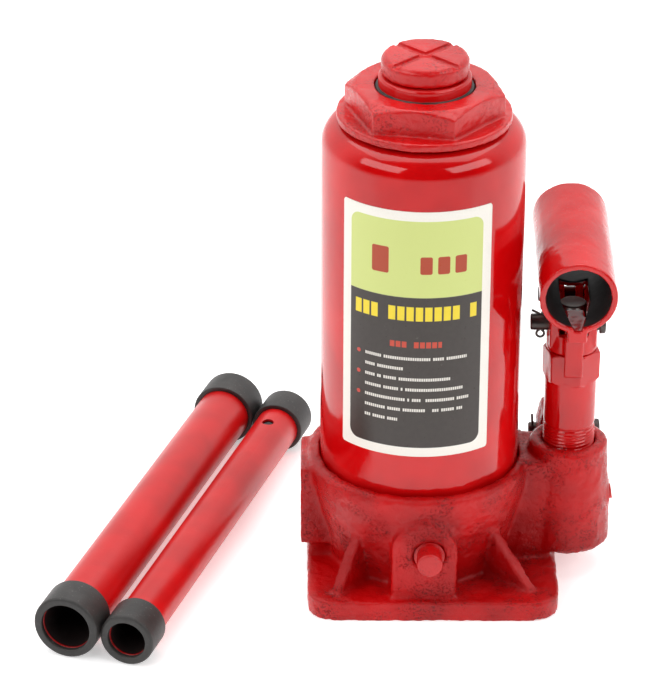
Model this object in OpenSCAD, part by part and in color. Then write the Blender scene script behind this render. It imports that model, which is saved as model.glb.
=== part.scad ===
/* [Reservoir] */
// Outside diameter of the oil reservoir shell
shell_d = 77.2; // [76:0.2:94]
// Height of the shell between its two gaskets
shell_h = 146.5; // [118:0.5:180]
// Wall thickness of the shell
shell_wall = 2.6; // [2:0.1:3.6]
// Outside radius of the rolled shoulder at the top of the shell
shoulder_r = 9; // [6:0.5:11]
// Height of the filler plug above the shell's lower edge
filler_z = 112; // [60:1:125]

/* [Base casting] */
// Side of the square foot plate
plate_w = 97.2; // [92:0.2:125]
// Thickness of the foot plate
plate_t = 8; // [6:0.5:10]
// Corner radius of the foot plate
plate_corner_r = 11; // [6:1:16]
// How far the plate's centre stands off the ram axis, towards the pump
plate_off = 5.3; // [2:0.1:8]
// Height of the base from the floor to the top of its rim
base_h = 50; // [46:1:62]
// Width of the rim outside the shell
rim_wall = 4.8; // [3.5:0.1:7]
// Radius of the bowl where it meets the plate
bowl_foot_r = 35.4; // [30:0.2:40]
// Depth of the rim around the shell
shell_seat = 8; // [5:0.5:9]
// Depth of the pressure cylinder's seat below the reservoir floor
cylinder_seat = 10; // [6:0.5:10]
// Thickness of the corner ribs
rib_t = 4.4; // [2.5:0.1:6]
// Height of the corner ribs where they leave the bowl
rib_h = 28.5; // [20:0.5:34]

/* [Pressure cylinder and ram] */
// Bore diameter of the pressure cylinder
bore_d = 38; // [32:0.5:39]
// Wall thickness of the pressure cylinder
cylinder_wall = 3.95; // [3.5:0.05:5]
// How far the ram's side stands inside the bore
ram_step = 1.5; // [1:0.1:3.5]
// How far the ram stands above the top nut when it is down
ram_proud = 4; // [2:0.5:10]
// Thread diameter of the extension screw
screw_d = 24.5; // [18:0.5:26]
// Pitch of the extension screw
screw_pitch = 3; // [2:0.5:5]
// Length that the extension screw can be wound out
screw_travel = 58; // [30:1:70]
// Diameter of the saddle on the extension screw
saddle_d = 33; // [28:0.5:36]
// Thickness of the saddle
saddle_t = 7.4; // [5:0.2:12]

/* [Top nut] */
// Diameter of the flange under the hexagon
flange_d = 66; // [64:0.5:74]
// Thickness of the flange
flange_t = 3.1; // [2:0.1:5]
// Width of the hexagon across its corners
nut_corners = 61; // [58:0.5:66]
// Height of the hexagon
nut_h = 10.5; // [9:0.5:16]

/* [Pump] */
// Gap between the shell and the pump's centre line
pump_gap = 19.6; // [18:0.2:26]
// Diameter of the pump plunger
plunger_d = 10.4; // [9:0.2:11]
// Outside diameter of the pump body
pump_d = 20; // [18:0.2:22]
// Height of the pump body above the boss
pump_rise = 39.5; // [32:0.5:50]
// Width of the pump body's hexagon across its corners
pump_hex = 22.7; // [22.7:0.1:26]
// Height of the pump body's hexagon
pump_hex_h = 13; // [9:0.5:16]
// Height of the pump boss above the floor
boss_h = 55; // [50:1:66]
// Radius of the pump boss at its top
boss_r = 15.2; // [14.5:0.1:18]

/* [Handle socket and links] */
// Outside diameter of the handle socket
socket_d = 29.3; // [28.6:0.1:33]
// Bore of the handle socket
socket_bore = 24.8; // [22:0.1:25.4]
// Length of the handle socket
socket_len = 66.6; // [60:0.2:80]
// Length of the socket in front of the pump's centre line
socket_front = 30; // [26:0.5:36]
// Rise of the socket towards its back end, in degrees
socket_tilt = 2.8; // [0:0.1:4]
// Height of the socket's centre line above the plunger pin
socket_rise = 26.1; // [25.8:0.1:30]
// Diameter of the round yoke under the socket
yoke_d = 19.8; // [19:0.2:22]
// Distance between the plunger pin and the upper link pin
lever = 24; // [22:0.2:30]
// Length of the links between their pins
link_len = 60.3; // [54:0.1:74]
// Thickness of a link
link_t = 3; // [2:0.1:4]
// Width of a link
link_w = 11; // [10:0.2:13]
// Diameter of the plunger pin
plunger_pin_d = 6.4; // [5:0.1:6.6]
// Diameter of the link pins
link_pin_d = 6; // [5:0.1:6.6]

/* [Release valve] */
// Height of the release valve above the floor
release_z = 26.4; // [25:0.2:28]
// Sideways place of the release valve
release_x = 3.5; // [2:0.1:5]
// Diameter of the release valve screw
release_d = 12; // [10:0.5:13]
// Diameter of the screw's round end outside the boss
release_end_d = 9.8; // [8:0.2:9.8]
// Radius of the arched boss around the release valve
release_boss_r = 12.6; // [10:0.1:14]
// Distance of the boss's front face from the ram axis
release_face = 45; // [44.5:0.5:48]

/* [Pump handle] */
// Outside diameter of the large handle tube
large_d = 22; // [20:0.2:25]
// Outside diameter of the small handle tube
small_d = 17.6; // [15:0.2:18]
// Wall thickness of both tubes
tube_wall = 1.5; // [1.2:0.1:2]
// Length of the large section with its caps
large_len = 193; // [150:1:260]
// Length of the small section with its caps
small_len = 191; // [150:1:260]
// Length of an end cap
cap_len = 14.5; // [10:0.5:20]
// Wall thickness of an end cap
cap_wall = 1.8; // [1.2:0.1:2.4]
// Thickness of an end cap's lip
cap_lip = 2; // [1.5:0.1:3]

/* [Label] */
// Height of the label
label_h = 102.5; // [60:0.5:104]
// Angle that the label covers, in degrees
label_angle = 90; // [60:1:110]
// Height of the label above the shell's lower edge
label_z = 23.5; // [16:0.5:30]

/* [Hidden] */

$fn = 64;
eps = 0.02;
run_gap = 0.06;   // radial clearance of a running or sliding fit
seat_gap = 0.15;  // radial clearance of a part that is clamped in place
free_gap = 0.3;   // gap between faces of parts that move past each other
gasket_t = 1.5;
top_gasket_t = 0.8;

red = [0.80, 0.06, 0.06];
dark_red = [0.55, 0.05, 0.05];
steel = [0.62, 0.62, 0.63];
dark_steel = [0.25, 0.22, 0.22];
rubber = [0.10, 0.10, 0.10];
brass = [0.78, 0.62, 0.30];
paper = [0.93, 0.92, 0.88];

// O-rings of the plunger and the release valve
seal_r = 0.7;        // radius of the cord
seal_groove = 1.4;   // depth of the plunger's groove; the ring stands just clear of its floor

// Heights of the stack on the ram axis
floor_z = base_h - shell_seat;
seat_z = floor_z - cylinder_seat;
shell_z0 = floor_z + gasket_t;
shell_z1 = shell_z0 + shell_h;
flange_z = shell_z1 + top_gasket_t;
hex_z = flange_z + flange_t;
nut_z1 = hex_z + nut_h;
ram_z1 = nut_z1 + ram_proud;
saddle_z = ram_z1 + free_gap;
top_z = saddle_z + saddle_t;

shell_r = shell_d / 2;
rim_r = shell_r + seat_gap + rim_wall + 0.15;
bore_r = bore_d / 2;
cylinder_r = bore_r + cylinder_wall;
cylinder_z0 = seat_z + gasket_t;
cylinder_z1 = flange_z + 5;
ram_r = bore_r - ram_step;
screw_r = screw_d / 2;

// Inside of the top nut
gland_z = cylinder_z1 + 0.3;
wiper_z = gland_z + 4;
wiper_wall = 1.3;
o_ring_w = 1.8;

// Ram: cup seal, washer and screw under the piston
cup_screw_t = 2.6;
cup_washer_t = 2;
cup_t = 7;
piston_t = 10;
stud_r = 7.5;
cup_screw_r = 3;
cup_screw_z = cylinder_z0 + 0.4;
cup_washer_z = cup_screw_z + cup_screw_t;
cup_z = cup_washer_z + cup_washer_t;
piston_z = cup_z + cup_t;

// Extension screw: its thread collar in the ram and its stop ring
collar_len = 14;
ring_t = 3;
relief_r = screw_r + 1.15;
ring_z = ram_z1 - collar_len - screw_travel - ring_t - 1.2;
screw_z0 = ring_z - 2.2;
relief_z = screw_z0 - 3;

// Pump
pump_x = shell_r + pump_gap;
plunger_r = plunger_d / 2;
pump_r = pump_d / 2;
thread_pitch = 1.5;
pump_z0 = boss_h - 19;
pump_z1 = boss_h + pump_rise;
pump_washer_t = 1.5;
chamber_r = 5;
chamber_z = boss_h - 35;
pin_z = pump_z1 + free_gap + 10.2;
plunger_z0 = pump_z0 + 4;
plunger_z1 = pin_z + 8.8;

// Yoke, links and pins, measured from the pump's centre line
slot_r = plunger_r + free_gap;
cheek_r = slot_r + 3.5;
link_x1 = slot_r - free_gap;
link_x0 = link_x1 - link_t;
lug_r = cheek_r + 2.2;
upper_grip = cheek_r + free_gap;
lower_grip = lug_r + free_gap;
lower_pin_z = pin_z - link_len;
open_gap = 1.3;   // clearance of the upper link pin in the socket's cheeks
cotter_r = 0.95;

// Release valve, measured along -Y from the ram axis
release_r = release_d / 2;
release_seat = 26.5;
release_pocket = 30;
release_nose = 33;
release_end = 7;
ball_r = 2.5;
gallery_r = 1.8;
seat_r = 1.6;
drill_r = 1.4;    // radius of the drillings that join the valves

// Other valves in the base
delivery_x = 12;
delivery_z = seat_z - 9;
delivery_r = 3.4;
delivery_ball_r = 2.75;
overload_x = -(cylinder_r + shell_r - shell_wall) / 2;
overload_z = seat_z - 2;
overload_r = 4;
suction_d = (cylinder_r + shell_r - shell_wall) / 2;
suction_a = 19;
suction_z = 14;

// Sloping gallery from the delivery valve up through the pump chamber to its plug
gallery_z = delivery_z - 2;
gallery_rise = chamber_z + 8 - gallery_z;
gallery_reach = pump_x - delivery_x;
gallery_len = norm([gallery_rise, gallery_reach]) + boss_r;

// Handle sections lying beside the jack
handle_a = 72;
handle_x = -134.5;
handle_y = -75.7;
small_shift = 2.2;
large_cap_r = large_d / 2 + cap_wall;
small_cap_r = small_d / 2 + cap_wall;
handle_gap = 0.4;
detent_from_end = 26;

// Height above a seat's edge of a ball that rests on it
function ball_rise(ball, edge) = sqrt(ball * ball - edge * edge) + 0.04;

// Half outline of a ring-grooved rod whose crests stand like a screw's
function thread_outline(r, depth, pitch, z0, z1) = [
    for (i = [0 : floor((z1 - z0) / pitch) - 1])
        each [[r - depth, z0 + i * pitch], [r, z0 + (i + 0.5) * pitch]],
    [r - depth, z0 + floor((z1 - z0) / pitch) * pitch]
];

module ring(r_out, r_in, z0, z1) {
    difference() {
        translate([0, 0, z0]) cylinder(r = r_out, h = z1 - z0);
        translate([0, 0, z0 - 1]) cylinder(r = r_in, h = z1 - z0 + 2);
    }
}

module torus(big_r, small_r) {
    rotate_extrude() translate([big_r, 0]) circle(r = small_r, $fn = 32);
}

module along_x(x0, x1, r) {
    translate([x0, 0, 0]) rotate([0, 90, 0]) cylinder(r = r, h = x1 - x0);
}

// A bore or bar that starts at y0 and runs to y1 in front of it
module to_front(y0, y1, r) {
    translate([0, y0, 0]) rotate([90, 0, 0]) cylinder(r = r, h = y0 - y1);
}

module on_pump() {
    translate([pump_x, 0, 0]) children();
}

module hexagon(corners, h, turn, bevel) {
    flat_r = corners / 2 * cos(30);
    intersection() {
        rotate([0, 0, turn]) cylinder(r = corners / 2, h = h, $fn = 6);
        union() {
            cylinder(r1 = flat_r + 0.1, r2 = corners / 2 + 0.05, h = bevel);
            translate([0, 0, bevel]) cylinder(r = corners / 2 + 0.05, h = h - 2 * bevel);
            translate([0, 0, h - bevel]) cylinder(r1 = corners / 2 + 0.05, r2 = flat_r + 0.1, h = bevel);
        }
    }
}

// Coil spring of round wire, standing on z0
module coil(coil_r, wire_r, turns, z0, z1) {
    sides = 8;
    steps = 14 * turns;
    rise = (z1 - z0 - 2 * wire_r) / steps;
    rings = [for (i = [0 : steps]) [for (k = [0 : sides - 1])
        let (a = 360 * i / 14, b = 360 * k / sides, r = coil_r + wire_r * cos(b))
            [r * cos(a), r * sin(a), z0 + wire_r + i * rise + wire_r * sin(b)]]];
    points = [for (row = rings) each row];
    skin = [for (i = [0 : steps - 1]) for (k = [0 : sides - 1])
        let (n = (k + 1) % sides)
            each [[i * sides + k, (i + 1) * sides + k, (i + 1) * sides + n],
                  [i * sides + k, (i + 1) * sides + n, i * sides + n]]];
    first = [for (k = [0 : sides - 1]) k];
    last = [for (k = [sides - 1 : -1 : 0]) steps * sides + k];
    polyhedron(points = points, faces = concat(skin, [first, last]), convexity = 6);
}

// Split pin: a loop under the hole, its shank in the hole and two legs above, bent by these angles
module split_pin(grip, legs) {
    loop_r = 1.5;
    wire = 0.55;
    translate([0, 0, -grip / 2]) cylinder(r = cotter_r - 0.05, h = grip + 0.6);
    translate([0, 0, -grip / 2 - loop_r - 0.3]) rotate([90, 0, 0]) torus(loop_r, wire);
    for (bend = legs)
        translate([0, 0, grip / 2 + 0.3]) rotate([0, bend, 0]) cylinder(r = wire, h = 3.6);
}

// ---------- base ----------

module foot_plate() {
    x0 = plate_off - plate_w / 2;
    y0 = -plate_w / 2;
    translate([x0 + plate_corner_r, y0, 0]) cube([plate_w - 2 * plate_corner_r, plate_w, plate_t]);
    translate([x0, y0 + plate_corner_r, 0]) cube([plate_w, plate_w - 2 * plate_corner_r, plate_t]);
    for (i = [0, 1]) for (j = [0, 1])
        translate([x0 + plate_corner_r + i * (plate_w - 2 * plate_corner_r),
                   y0 + plate_corner_r + j * (plate_w - 2 * plate_corner_r), 0])
            cylinder(r = plate_corner_r, h = plate_t);
}

module bowl() {
    rotate_extrude() polygon([
        [0, 0], [bowl_foot_r, 0], [bowl_foot_r, plate_t],
        [bowl_foot_r + 0.32 * (rim_r - bowl_foot_r), plate_t + 0.32 * (base_h - plate_t)],
        [bowl_foot_r + 0.72 * (rim_r - bowl_foot_r), plate_t + 0.6 * (base_h - plate_t)],
        [rim_r - 0.5, base_h - 8], [rim_r, base_h - 4.5], [rim_r, base_h - 1.4], [rim_r - 1.4, base_h],
        [0, base_h]
    ]);
}

module rib(angle, r_end, h) {
    rotate([0, 0, angle]) translate([0, rib_t / 2, 0]) rotate([90, 0, 0]) linear_extrude(rib_t)
        polygon([[20, 1], [20, h], [bowl_foot_r + 3, h], [r_end, plate_t + 1.2], [r_end + 1.5, 1]]);
}

// Ribs to the plate's corners; the two on the side away from the pump stand higher and turn outward
module corner_ribs() {
    for (sx = [-1, 1]) for (sy = [-1, 1]) {
        x = plate_off + sx * plate_w / 2;
        y = sy * plate_w / 2;
        left = sx < 0 ? 1 : 0;
        rib(atan2(y, x) - sy * 4 * left, norm([x, y]) - 14 + 2 * left, rib_h + 3 * left);
    }
}

module release_boss() {
    boss_x = release_x - 1.9;
    boss_z = release_z + 1;
    roof_z = boss_z - 9;
    difference() {
        union() {
            translate([boss_x, 0, boss_z]) to_front(-18, -release_face, release_boss_r);
            translate([boss_x - release_boss_r, -release_face, 1])
                cube([2 * release_boss_r, release_face - 18, boss_z - 1]);
            translate([boss_x, -release_face, roof_z]) rotate([55, 0, 0])
                to_front(34, -10, release_boss_r - 0.1);
        }
        translate([-40, -release_face - 30, -1]) cube([80, 30, base_h + 20]);
        cylinder(r = bowl_foot_r - 16, h = base_h);
        translate([-40, -60, base_h - 3]) cube([80, 60, 30]);
    }
}

module side_pad() {
    pad_x = rim_r + 2.4;
    translate([-pad_x, -14, 14]) cube([pad_x - 24, 28, base_h - 2.7 - 14]);
    translate([-pad_x + 2.8, -12, 1]) cube([pad_x - 24, 24, 20]);
}

module pump_boss() {
    on_pump() {
        translate([0, 0, 11]) cylinder(r1 = boss_r + 0.9, r2 = boss_r + 2, h = 1.5);
        translate([0, 0, 12.5]) cylinder(r1 = boss_r + 2, r2 = boss_r, h = boss_h - 13.7);
        translate([0, 0, boss_h - 1.2]) cylinder(r1 = boss_r, r2 = boss_r - 1.6, h = 1.2);
    }
    // web to the bowl; only its upper part reaches past the foot plate
    web_w = 27.6;
    web_z = 11;
    translate([26, -web_w / 2, 1]) cube([plate_off + plate_w / 2 - 28, web_w, web_z]);
    translate([26, -web_w / 2, web_z]) cube([pump_x - 26, web_w, base_h - web_z]);
    translate([pump_x, 0, 31]) along_x(boss_r - 4, boss_r + 1.6, 4.6);
}

// Fork behind the pump boss that holds the links between its ears
module link_lug() {
    ear_r = link_w / 2 + 0.5;
    ear_top = lower_pin_z + 12;
    slot_y = lever - link_w / 2 - 1.6;
    ear_depth = lever + ear_r - slot_y + 1;
    on_pump() difference() {
        union() {
            translate([0, lever + ear_r, 0]) rotate([90, 0, 0]) linear_extrude(ear_depth) polygon([
                [-lug_r, lower_pin_z - 18], [lug_r, lower_pin_z - 18], [lug_r, ear_top - 7.5],
                [lug_r - 2, ear_top], [2 - lug_r, ear_top], [-lug_r, ear_top - 7.5]
            ]);
            translate([-lug_r, 8, 12]) cube([2 * lug_r, lever - 10, lower_pin_z - 9]);
        }
        translate([-slot_r, slot_y, lower_pin_z - ear_r - 0.5]) cube([2 * slot_r, lever, link_len]);
    }
}

module on_gallery(along) {
    translate([delivery_x, 0, gallery_z]) rotate([0, -atan2(gallery_rise, gallery_reach), 0])
        translate([along, 0, 0]) children();
}

module on_strainer() {
    translate([suction_d * cos(suction_a), suction_d * sin(suction_a), floor_z]) children();
}

module valve_bores() {
    // release valve: screw bore, ball pocket, gallery to the cylinder and drain to the reservoir
    translate([release_x, 0, release_z]) {
        to_front(-release_pocket, -release_face - 5, release_r + run_gap);
        to_front(-release_seat, -release_pocket - 1, ball_r + 0.25);
        to_front(gallery_r + 1, -release_seat - 1, gallery_r);
        cylinder(r = drill_r, h = seat_z - release_z + 1);
        translate([0, -release_pocket - 1.5, 0]) cylinder(r = drill_r, h = floor_z - release_z + 1);
    }
    // delivery valve under the cylinder
    translate([delivery_x, 0, delivery_z]) cylinder(r = delivery_r, h = seat_z - delivery_z + 1);
    translate([delivery_x, 0, delivery_z - 4]) cylinder(r = gallery_r, h = 5);
    on_gallery(0) {
        along_x(0, gallery_len, drill_r);
        along_x(gallery_len - 6, gallery_len + 8, 3);
    }
    // overload valve in the reservoir floor
    translate([overload_x, 0, overload_z]) cylinder(r = overload_r + 0.1, h = floor_z - overload_z + 1);
    translate([overload_x, 0, release_z - 2]) cylinder(r = seat_r, h = overload_z - release_z + 3);
    translate([0, 0, release_z]) along_x(overload_x, release_x, drill_r);
    // suction valve under the pump chamber and its gallery from the reservoir
    on_pump() {
        translate([0, 0, chamber_z]) cylinder(r = ball_r + 0.25, h = 5);
        translate([0, 0, chamber_z + 4]) cylinder(r = chamber_r, h = pump_z0 - chamber_z);
        translate([0, 0, suction_z - 2]) cylinder(r = seat_r, h = chamber_z - suction_z + 3);
    }
    on_strainer() translate([0, 0, suction_z - 2 - floor_z]) cylinder(r = 2, h = floor_z - suction_z + 3);
    x = suction_d * cos(suction_a);
    y = suction_d * sin(suction_a);
    translate([x, y, suction_z]) rotate([0, 0, atan2(-y, pump_x - x)])
        along_x(0, norm([pump_x - x, y]), drill_r);
}

module base_casting() {
    color(red) difference() {
        union() {
            foot_plate();
            bowl();
            corner_ribs();
            release_boss();
            side_pad();
            pump_boss();
            link_lug();
        }
        translate([0, 0, floor_z]) cylinder(r = shell_r + seat_gap + 0.15, h = base_h);
        translate([0, 0, seat_z]) cylinder(r = cylinder_r + seat_gap, h = base_h);
        on_pump() translate([0, 0, pump_z0 - pump_washer_t]) cylinder(r = pump_r + 0.35, h = base_h);
        valve_bores();
        translate([pump_x, lever, lower_pin_z]) along_x(-lug_r - 1, lug_r + 1, link_pin_d / 2 + run_gap);
    }
}

module shell_outline(r, z1, round_r) {
    translate([0, shell_z0]) square([r, z1 - round_r - shell_z0]);
    translate([0, shell_z0]) square([r - round_r, z1 - shell_z0]);
    translate([r - round_r, z1 - round_r]) circle(r = round_r);
}

module reservoir_shell() {
    color(red) difference() {
        rotate_extrude() difference() {
            shell_outline(shell_r, shell_z1, shoulder_r);
            translate([0, -eps]) shell_outline(shell_r - shell_wall, shell_z1 - shell_wall + eps,
                                               shoulder_r - shell_wall);
            square([cylinder_r + seat_gap, top_z]);
        }
        translate([0, 0, shell_z0 + filler_z]) to_front(shell_r + 5, shell_r - 12, 4.5 + run_gap);
    }
}

module pressure_cylinder() {
    color(steel) ring(cylinder_r, bore_r, cylinder_z0, cylinder_z1);
}

module top_nut() {
    color(red) difference() {
        union() {
            translate([0, 0, flange_z]) cylinder(r = flange_d / 2, h = flange_t);
            translate([0, 0, hex_z - 1]) intersection() {
                rotate([0, 0, -10]) cylinder(r = nut_corners / 2, h = nut_h + 1, $fn = 6);
                union() {
                    cylinder(r = nut_corners / 2 + 0.1, h = nut_h - 1.9);
                    translate([0, 0, nut_h - 1.9])
                        cylinder(r1 = nut_corners / 2 + 0.1, r2 = nut_corners / 2 * cos(30) - 0.6, h = 2.9);
                }
            }
        }
        translate([0, 0, flange_z - 1]) cylinder(r = cylinder_r + 0.05, h = gland_z - flange_z + 1);
        cylinder(r = ram_r + run_gap + 0.02, h = top_z);
        translate([0, 0, gland_z + 1]) cylinder(r = ram_r + run_gap + o_ring_w + 0.05, h = o_ring_w + 0.2);
        translate([0, 0, wiper_z]) cylinder(r = ram_r + run_gap + wiper_wall + 0.05, h = top_z);
    }
}

module wiper_seal() {
    r = ram_r + run_gap;
    color(rubber) rotate_extrude() polygon([
        [r, wiper_z + eps], [r + wiper_wall, wiper_z + eps],
        [r + wiper_wall, nut_z1 - 1.6], [r + wiper_wall - 0.5, nut_z1 - 0.6], [r, nut_z1 - 0.6]
    ]);
}

module gland_o_ring() {
    color(rubber) translate([0, 0, gland_z + 1.1 + o_ring_w / 2])
        torus(ram_r + run_gap + o_ring_w / 2 + 0.03, o_ring_w / 2);
}

module top_gasket() {
    color(rubber) ring(flange_d / 2 - 4, cylinder_r + 0.3, shell_z1, shell_z1 + top_gasket_t);
}

module shell_gasket() {
    color(rubber) ring(shell_r, shell_r - shell_wall - 0.6, floor_z, floor_z + gasket_t);
}

module cylinder_gasket() {
    color(brass) ring(cylinder_r, bore_r + 0.4, seat_z, seat_z + gasket_t);
}

module label_plate() {
    color(paper) rotate([0, 0, -95.2 - label_angle / 2]) rotate_extrude(angle = label_angle, $fn = 96)
        translate([shell_r + eps, shell_z0 + label_z]) square([0.25, label_h]);
}

module filler_plug() {
    color(rubber) translate([0, 0, shell_z0 + filler_z]) {
        to_front(shell_r + 3.1, shell_r + free_gap, 7);
        to_front(shell_r + 1, shell_r - shell_wall - 3, 4.5);
        to_front(shell_r + 4.4, shell_r + 3, 4);
    }
}

// ---------- ram and extension screw ----------

module ram() {
    color(steel) difference() {
        union() {
            translate([0, 0, cup_washer_z + cup_washer_t]) cylinder(r = stud_r, h = cup_t + 1);
            translate([0, 0, piston_z]) cylinder(r = bore_r - run_gap, h = piston_t);
            translate([0, 0, piston_z + 1]) cylinder(r = ram_r, h = ram_z1 - piston_z - 2.2);
            translate([0, 0, ram_z1 - 1.2]) cylinder(r1 = ram_r, r2 = ram_r - 1.2, h = 1.2);
        }
        translate([0, 0, relief_z]) cylinder(r = relief_r, h = ram_z1 - collar_len - relief_z);
        translate([0, 0, relief_z]) cylinder(r = screw_r + run_gap, h = top_z - relief_z);
        translate([0, 0, cup_washer_z]) cylinder(r = cup_screw_r, h = 16);
    }
}

module ram_cup_seal() {
    r = bore_r - run_gap;
    color(rubber) rotate_extrude() polygon([
        [stud_r, cup_z + eps], [r - 2.6, cup_z + eps], [r - 2.6, cup_z + 3], [r - 2, cup_z + 3],
        [r - 1.2, cup_z + eps], [r, cup_z + eps], [r, cup_z + cup_t - eps], [stud_r, cup_z + cup_t - eps]
    ]);
}

module cup_washer() {
    color(steel) ring(bore_r - 3.4, cup_screw_r + 0.1, cup_washer_z, cup_washer_z + cup_washer_t);
}

module cup_screw() {
    color(dark_steel) {
        translate([0, 0, cup_screw_z]) difference() {
            cylinder(r = 5.6, h = cup_screw_t);
            translate([0, 0, -1]) cylinder(r = 2.6, h = 2.4, $fn = 6);
        }
        translate([0, 0, cup_washer_z - 0.5]) cylinder(r = cup_screw_r - 0.05, h = 13);
    }
}

module saddle() {
    r = saddle_d / 2;
    difference() {
        rotate_extrude() union() {
            translate([0, saddle_z]) square([r - 1.6, saddle_t]);
            translate([0, saddle_z + 1.6]) square([r, saddle_t - 4]);
            translate([r - 1.6, saddle_z + 1.6]) circle(r = 1.6);
            translate([r - 2.4, top_z - 2.4]) circle(r = 2.4);
        }
        for (a = [45, 135])
            translate([0, 0, top_z]) rotate([0, 0, a]) cube([saddle_d + 2, 3.2, 3.2], center = true);
    }
}

module extension_screw() {
    color(red) {
        saddle();
        translate([0, 0, saddle_z - 2.3]) cylinder(r = screw_r - 0.9, h = 3);
        difference() {
            rotate_extrude() polygon(concat(
                [[0, screw_z0]],
                [[screw_r - 1.6, screw_z0], [screw_r - 1.05, ring_z - 0.1],
                 [screw_r - 1.05, ring_z + ring_t + 0.1]],
                thread_outline(screw_r, 1.2, screw_pitch, ring_z + ring_t + 0.2, saddle_z - 0.6),
                [[0, saddle_z - 0.6]]
            ));
            translate([0, 0, screw_z0 - 1]) cylinder(r1 = 3.4, r2 = 2.6, h = 6);
        }
    }
}

module screw_stop_ring() {
    color(dark_steel) difference() {
        ring(relief_r - free_gap, screw_r - 1.05 + run_gap, ring_z, ring_z + ring_t);
        translate([0, -1.5, ring_z - 1]) cube([relief_r + 2, 3, ring_t + 2]);
    }
}

// ---------- pump ----------

module pump_body() {
    color(red) on_pump() difference() {
        union() {
            rotate_extrude() polygon(concat(
                [[0, pump_z0], [pump_r - 0.9, pump_z0]],
                thread_outline(pump_r + 0.2, 0.9, thread_pitch, pump_z0 + 0.8, boss_h + 7.2),
                [[pump_r, boss_h + 7.6], [pump_r, pump_z1 - pump_hex_h + 1], [0, pump_z1 - pump_hex_h + 1]]
            ));
            translate([0, 0, pump_z1 - pump_hex_h]) hexagon(pump_hex, pump_hex_h, -15, 1.1);
        }
        cylinder(r = plunger_r + run_gap, h = top_z);
        translate([0, 0, pump_z0 - 1]) cylinder(r1 = chamber_r + 1.6, r2 = plunger_r, h = 3);
        translate([0, 0, pump_z1 - 3.4]) cylinder(r = plunger_r + 2.2, h = 10);
    }
}

module pump_washer() {
    color(brass) on_pump() ring(pump_r, chamber_r + 1, pump_z0 - pump_washer_t, pump_z0);
}

module pump_wiper() {
    color(rubber) on_pump() ring(plunger_r + 2.15, plunger_r + run_gap, pump_z1 - 3.4, pump_z1 - 0.4);
}

module pump_plunger() {
    color(steel) on_pump() difference() {
        union() {
            translate([0, 0, plunger_z0]) cylinder(r = plunger_r, h = plunger_z1 - plunger_z0 - 0.5);
            translate([0, 0, plunger_z1 - 0.5]) cylinder(r1 = plunger_r, r2 = plunger_r - 0.5, h = 0.5);
        }
        ring(plunger_r + 1, plunger_r - seal_groove, plunger_z0 + 4, plunger_z0 + 6);
        translate([0, 0, pin_z]) along_x(-plunger_r - 1, plunger_r + 1, plunger_pin_d / 2 + run_gap);
    }
}

module plunger_o_ring() {
    color(rubber) on_pump() translate([0, 0, plunger_z0 + 5])
        torus(plunger_r - seal_groove + seal_r + eps, seal_r);
}

// ---------- handle socket and links ----------

module on_pin() {
    translate([pump_x, 0, pin_z]) children();
}

module socket_axis() {
    translate([0, 0, socket_rise]) rotate([socket_tilt, 0, 0]) children();
}

// A plate of the yoke, drawn in the plane across the pump and centred on x
module yoke_plate(x, t, outline) {
    translate([x - t / 2, 0, 0]) rotate([90, 0, 90]) linear_extrude(t) polygon(outline);
}

module yoke_cheeks() {
    t = cheek_r - slot_r;
    ear_r = link_w / 2 + 1.4;
    tube_low = socket_rise - socket_d / 2;
    for (side = [-1, 1]) {
        yoke_plate(side * (slot_r + t / 2), t, [
            [-6, -8], [0, -8], [lever, -ear_r], [lever + ear_r * 0.9, ear_r * 0.4],
            [socket_len - socket_front - 2, tube_low + 4], [-14, tube_low + 4], [-9, 4]
        ]);
        translate([0, lever, 0]) along_x(side > 0 ? slot_r : -cheek_r, side > 0 ? cheek_r : -slot_r, ear_r);
    }
}

// Pinched nose of the yoke, from the socket's lip down in front of the pump's hexagon
module front_tongue() {
    w = 7.2;
    tube_low = socket_rise - socket_d / 2;
    face = -yoke_d / 2 - 4.5;
    back = -pump_hex / 2 - 0.6;
    yoke_plate(0, w, [
        [-socket_front, tube_low + 1.2], [-socket_front, tube_low - 5], [face, -1],
        [face, -16], [face + 0.8, -17.3], [back - 0.6, -17.3], [back, -16.6], [back, -10.2],
        [-slot_r - 0.1, -10.2], [-slot_r - 0.1, -2.5], [-yoke_d / 2 - 1, -2.5], [-yoke_d / 2 - 1, tube_low + 2]
    ]);
}

module handle_socket() {
    color(red) on_pin() difference() {
        union() {
            socket_axis() to_front(socket_len - socket_front, -socket_front, socket_d / 2);
            difference() {
                translate([0, 0, -10.2]) cylinder(r = yoke_d / 2, h = socket_rise);
                translate([-slot_r, -slot_r - 0.1, -12]) cube([2 * slot_r, yoke_d, socket_rise]);
                translate([-slot_r, -yoke_d, -2.5]) cube([2 * slot_r, 2 * yoke_d, socket_rise]);
            }
            yoke_cheeks();
            front_tongue();
        }
        socket_axis() to_front(socket_len, -socket_len, socket_bore / 2);
        // window over the plunger, narrowing to a notch in the lip
        translate([0, 0, socket_rise - socket_d / 2 - 0.6]) linear_extrude(8) polygon([
            [-1.3, -socket_front - 2], [-slot_r, -yoke_d / 2 - 1], [-slot_r, slot_r + 1],
            [slot_r, slot_r + 1], [slot_r, -yoke_d / 2 - 1], [1.3, -socket_front - 2]
        ]);
        along_x(-yoke_d, yoke_d, plunger_pin_d / 2 + 0.02);
        translate([0, lever, 0]) along_x(-yoke_d, yoke_d, link_pin_d / 2 + open_gap);
    }
}

module plunger_pin() {
    color(dark_steel) on_pin() difference() {
        union() {
            along_x(-yoke_d / 2 - 6.3, yoke_d / 2 + 0.6, plunger_pin_d / 2);
            along_x(yoke_d / 2 + 0.4, yoke_d / 2 + 2.8, plunger_pin_d / 2 + 1.3);
        }
        translate([-yoke_d / 2 - 2.4, 0, -8]) cylinder(r = cotter_r, h = 16);
    }
}

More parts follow.
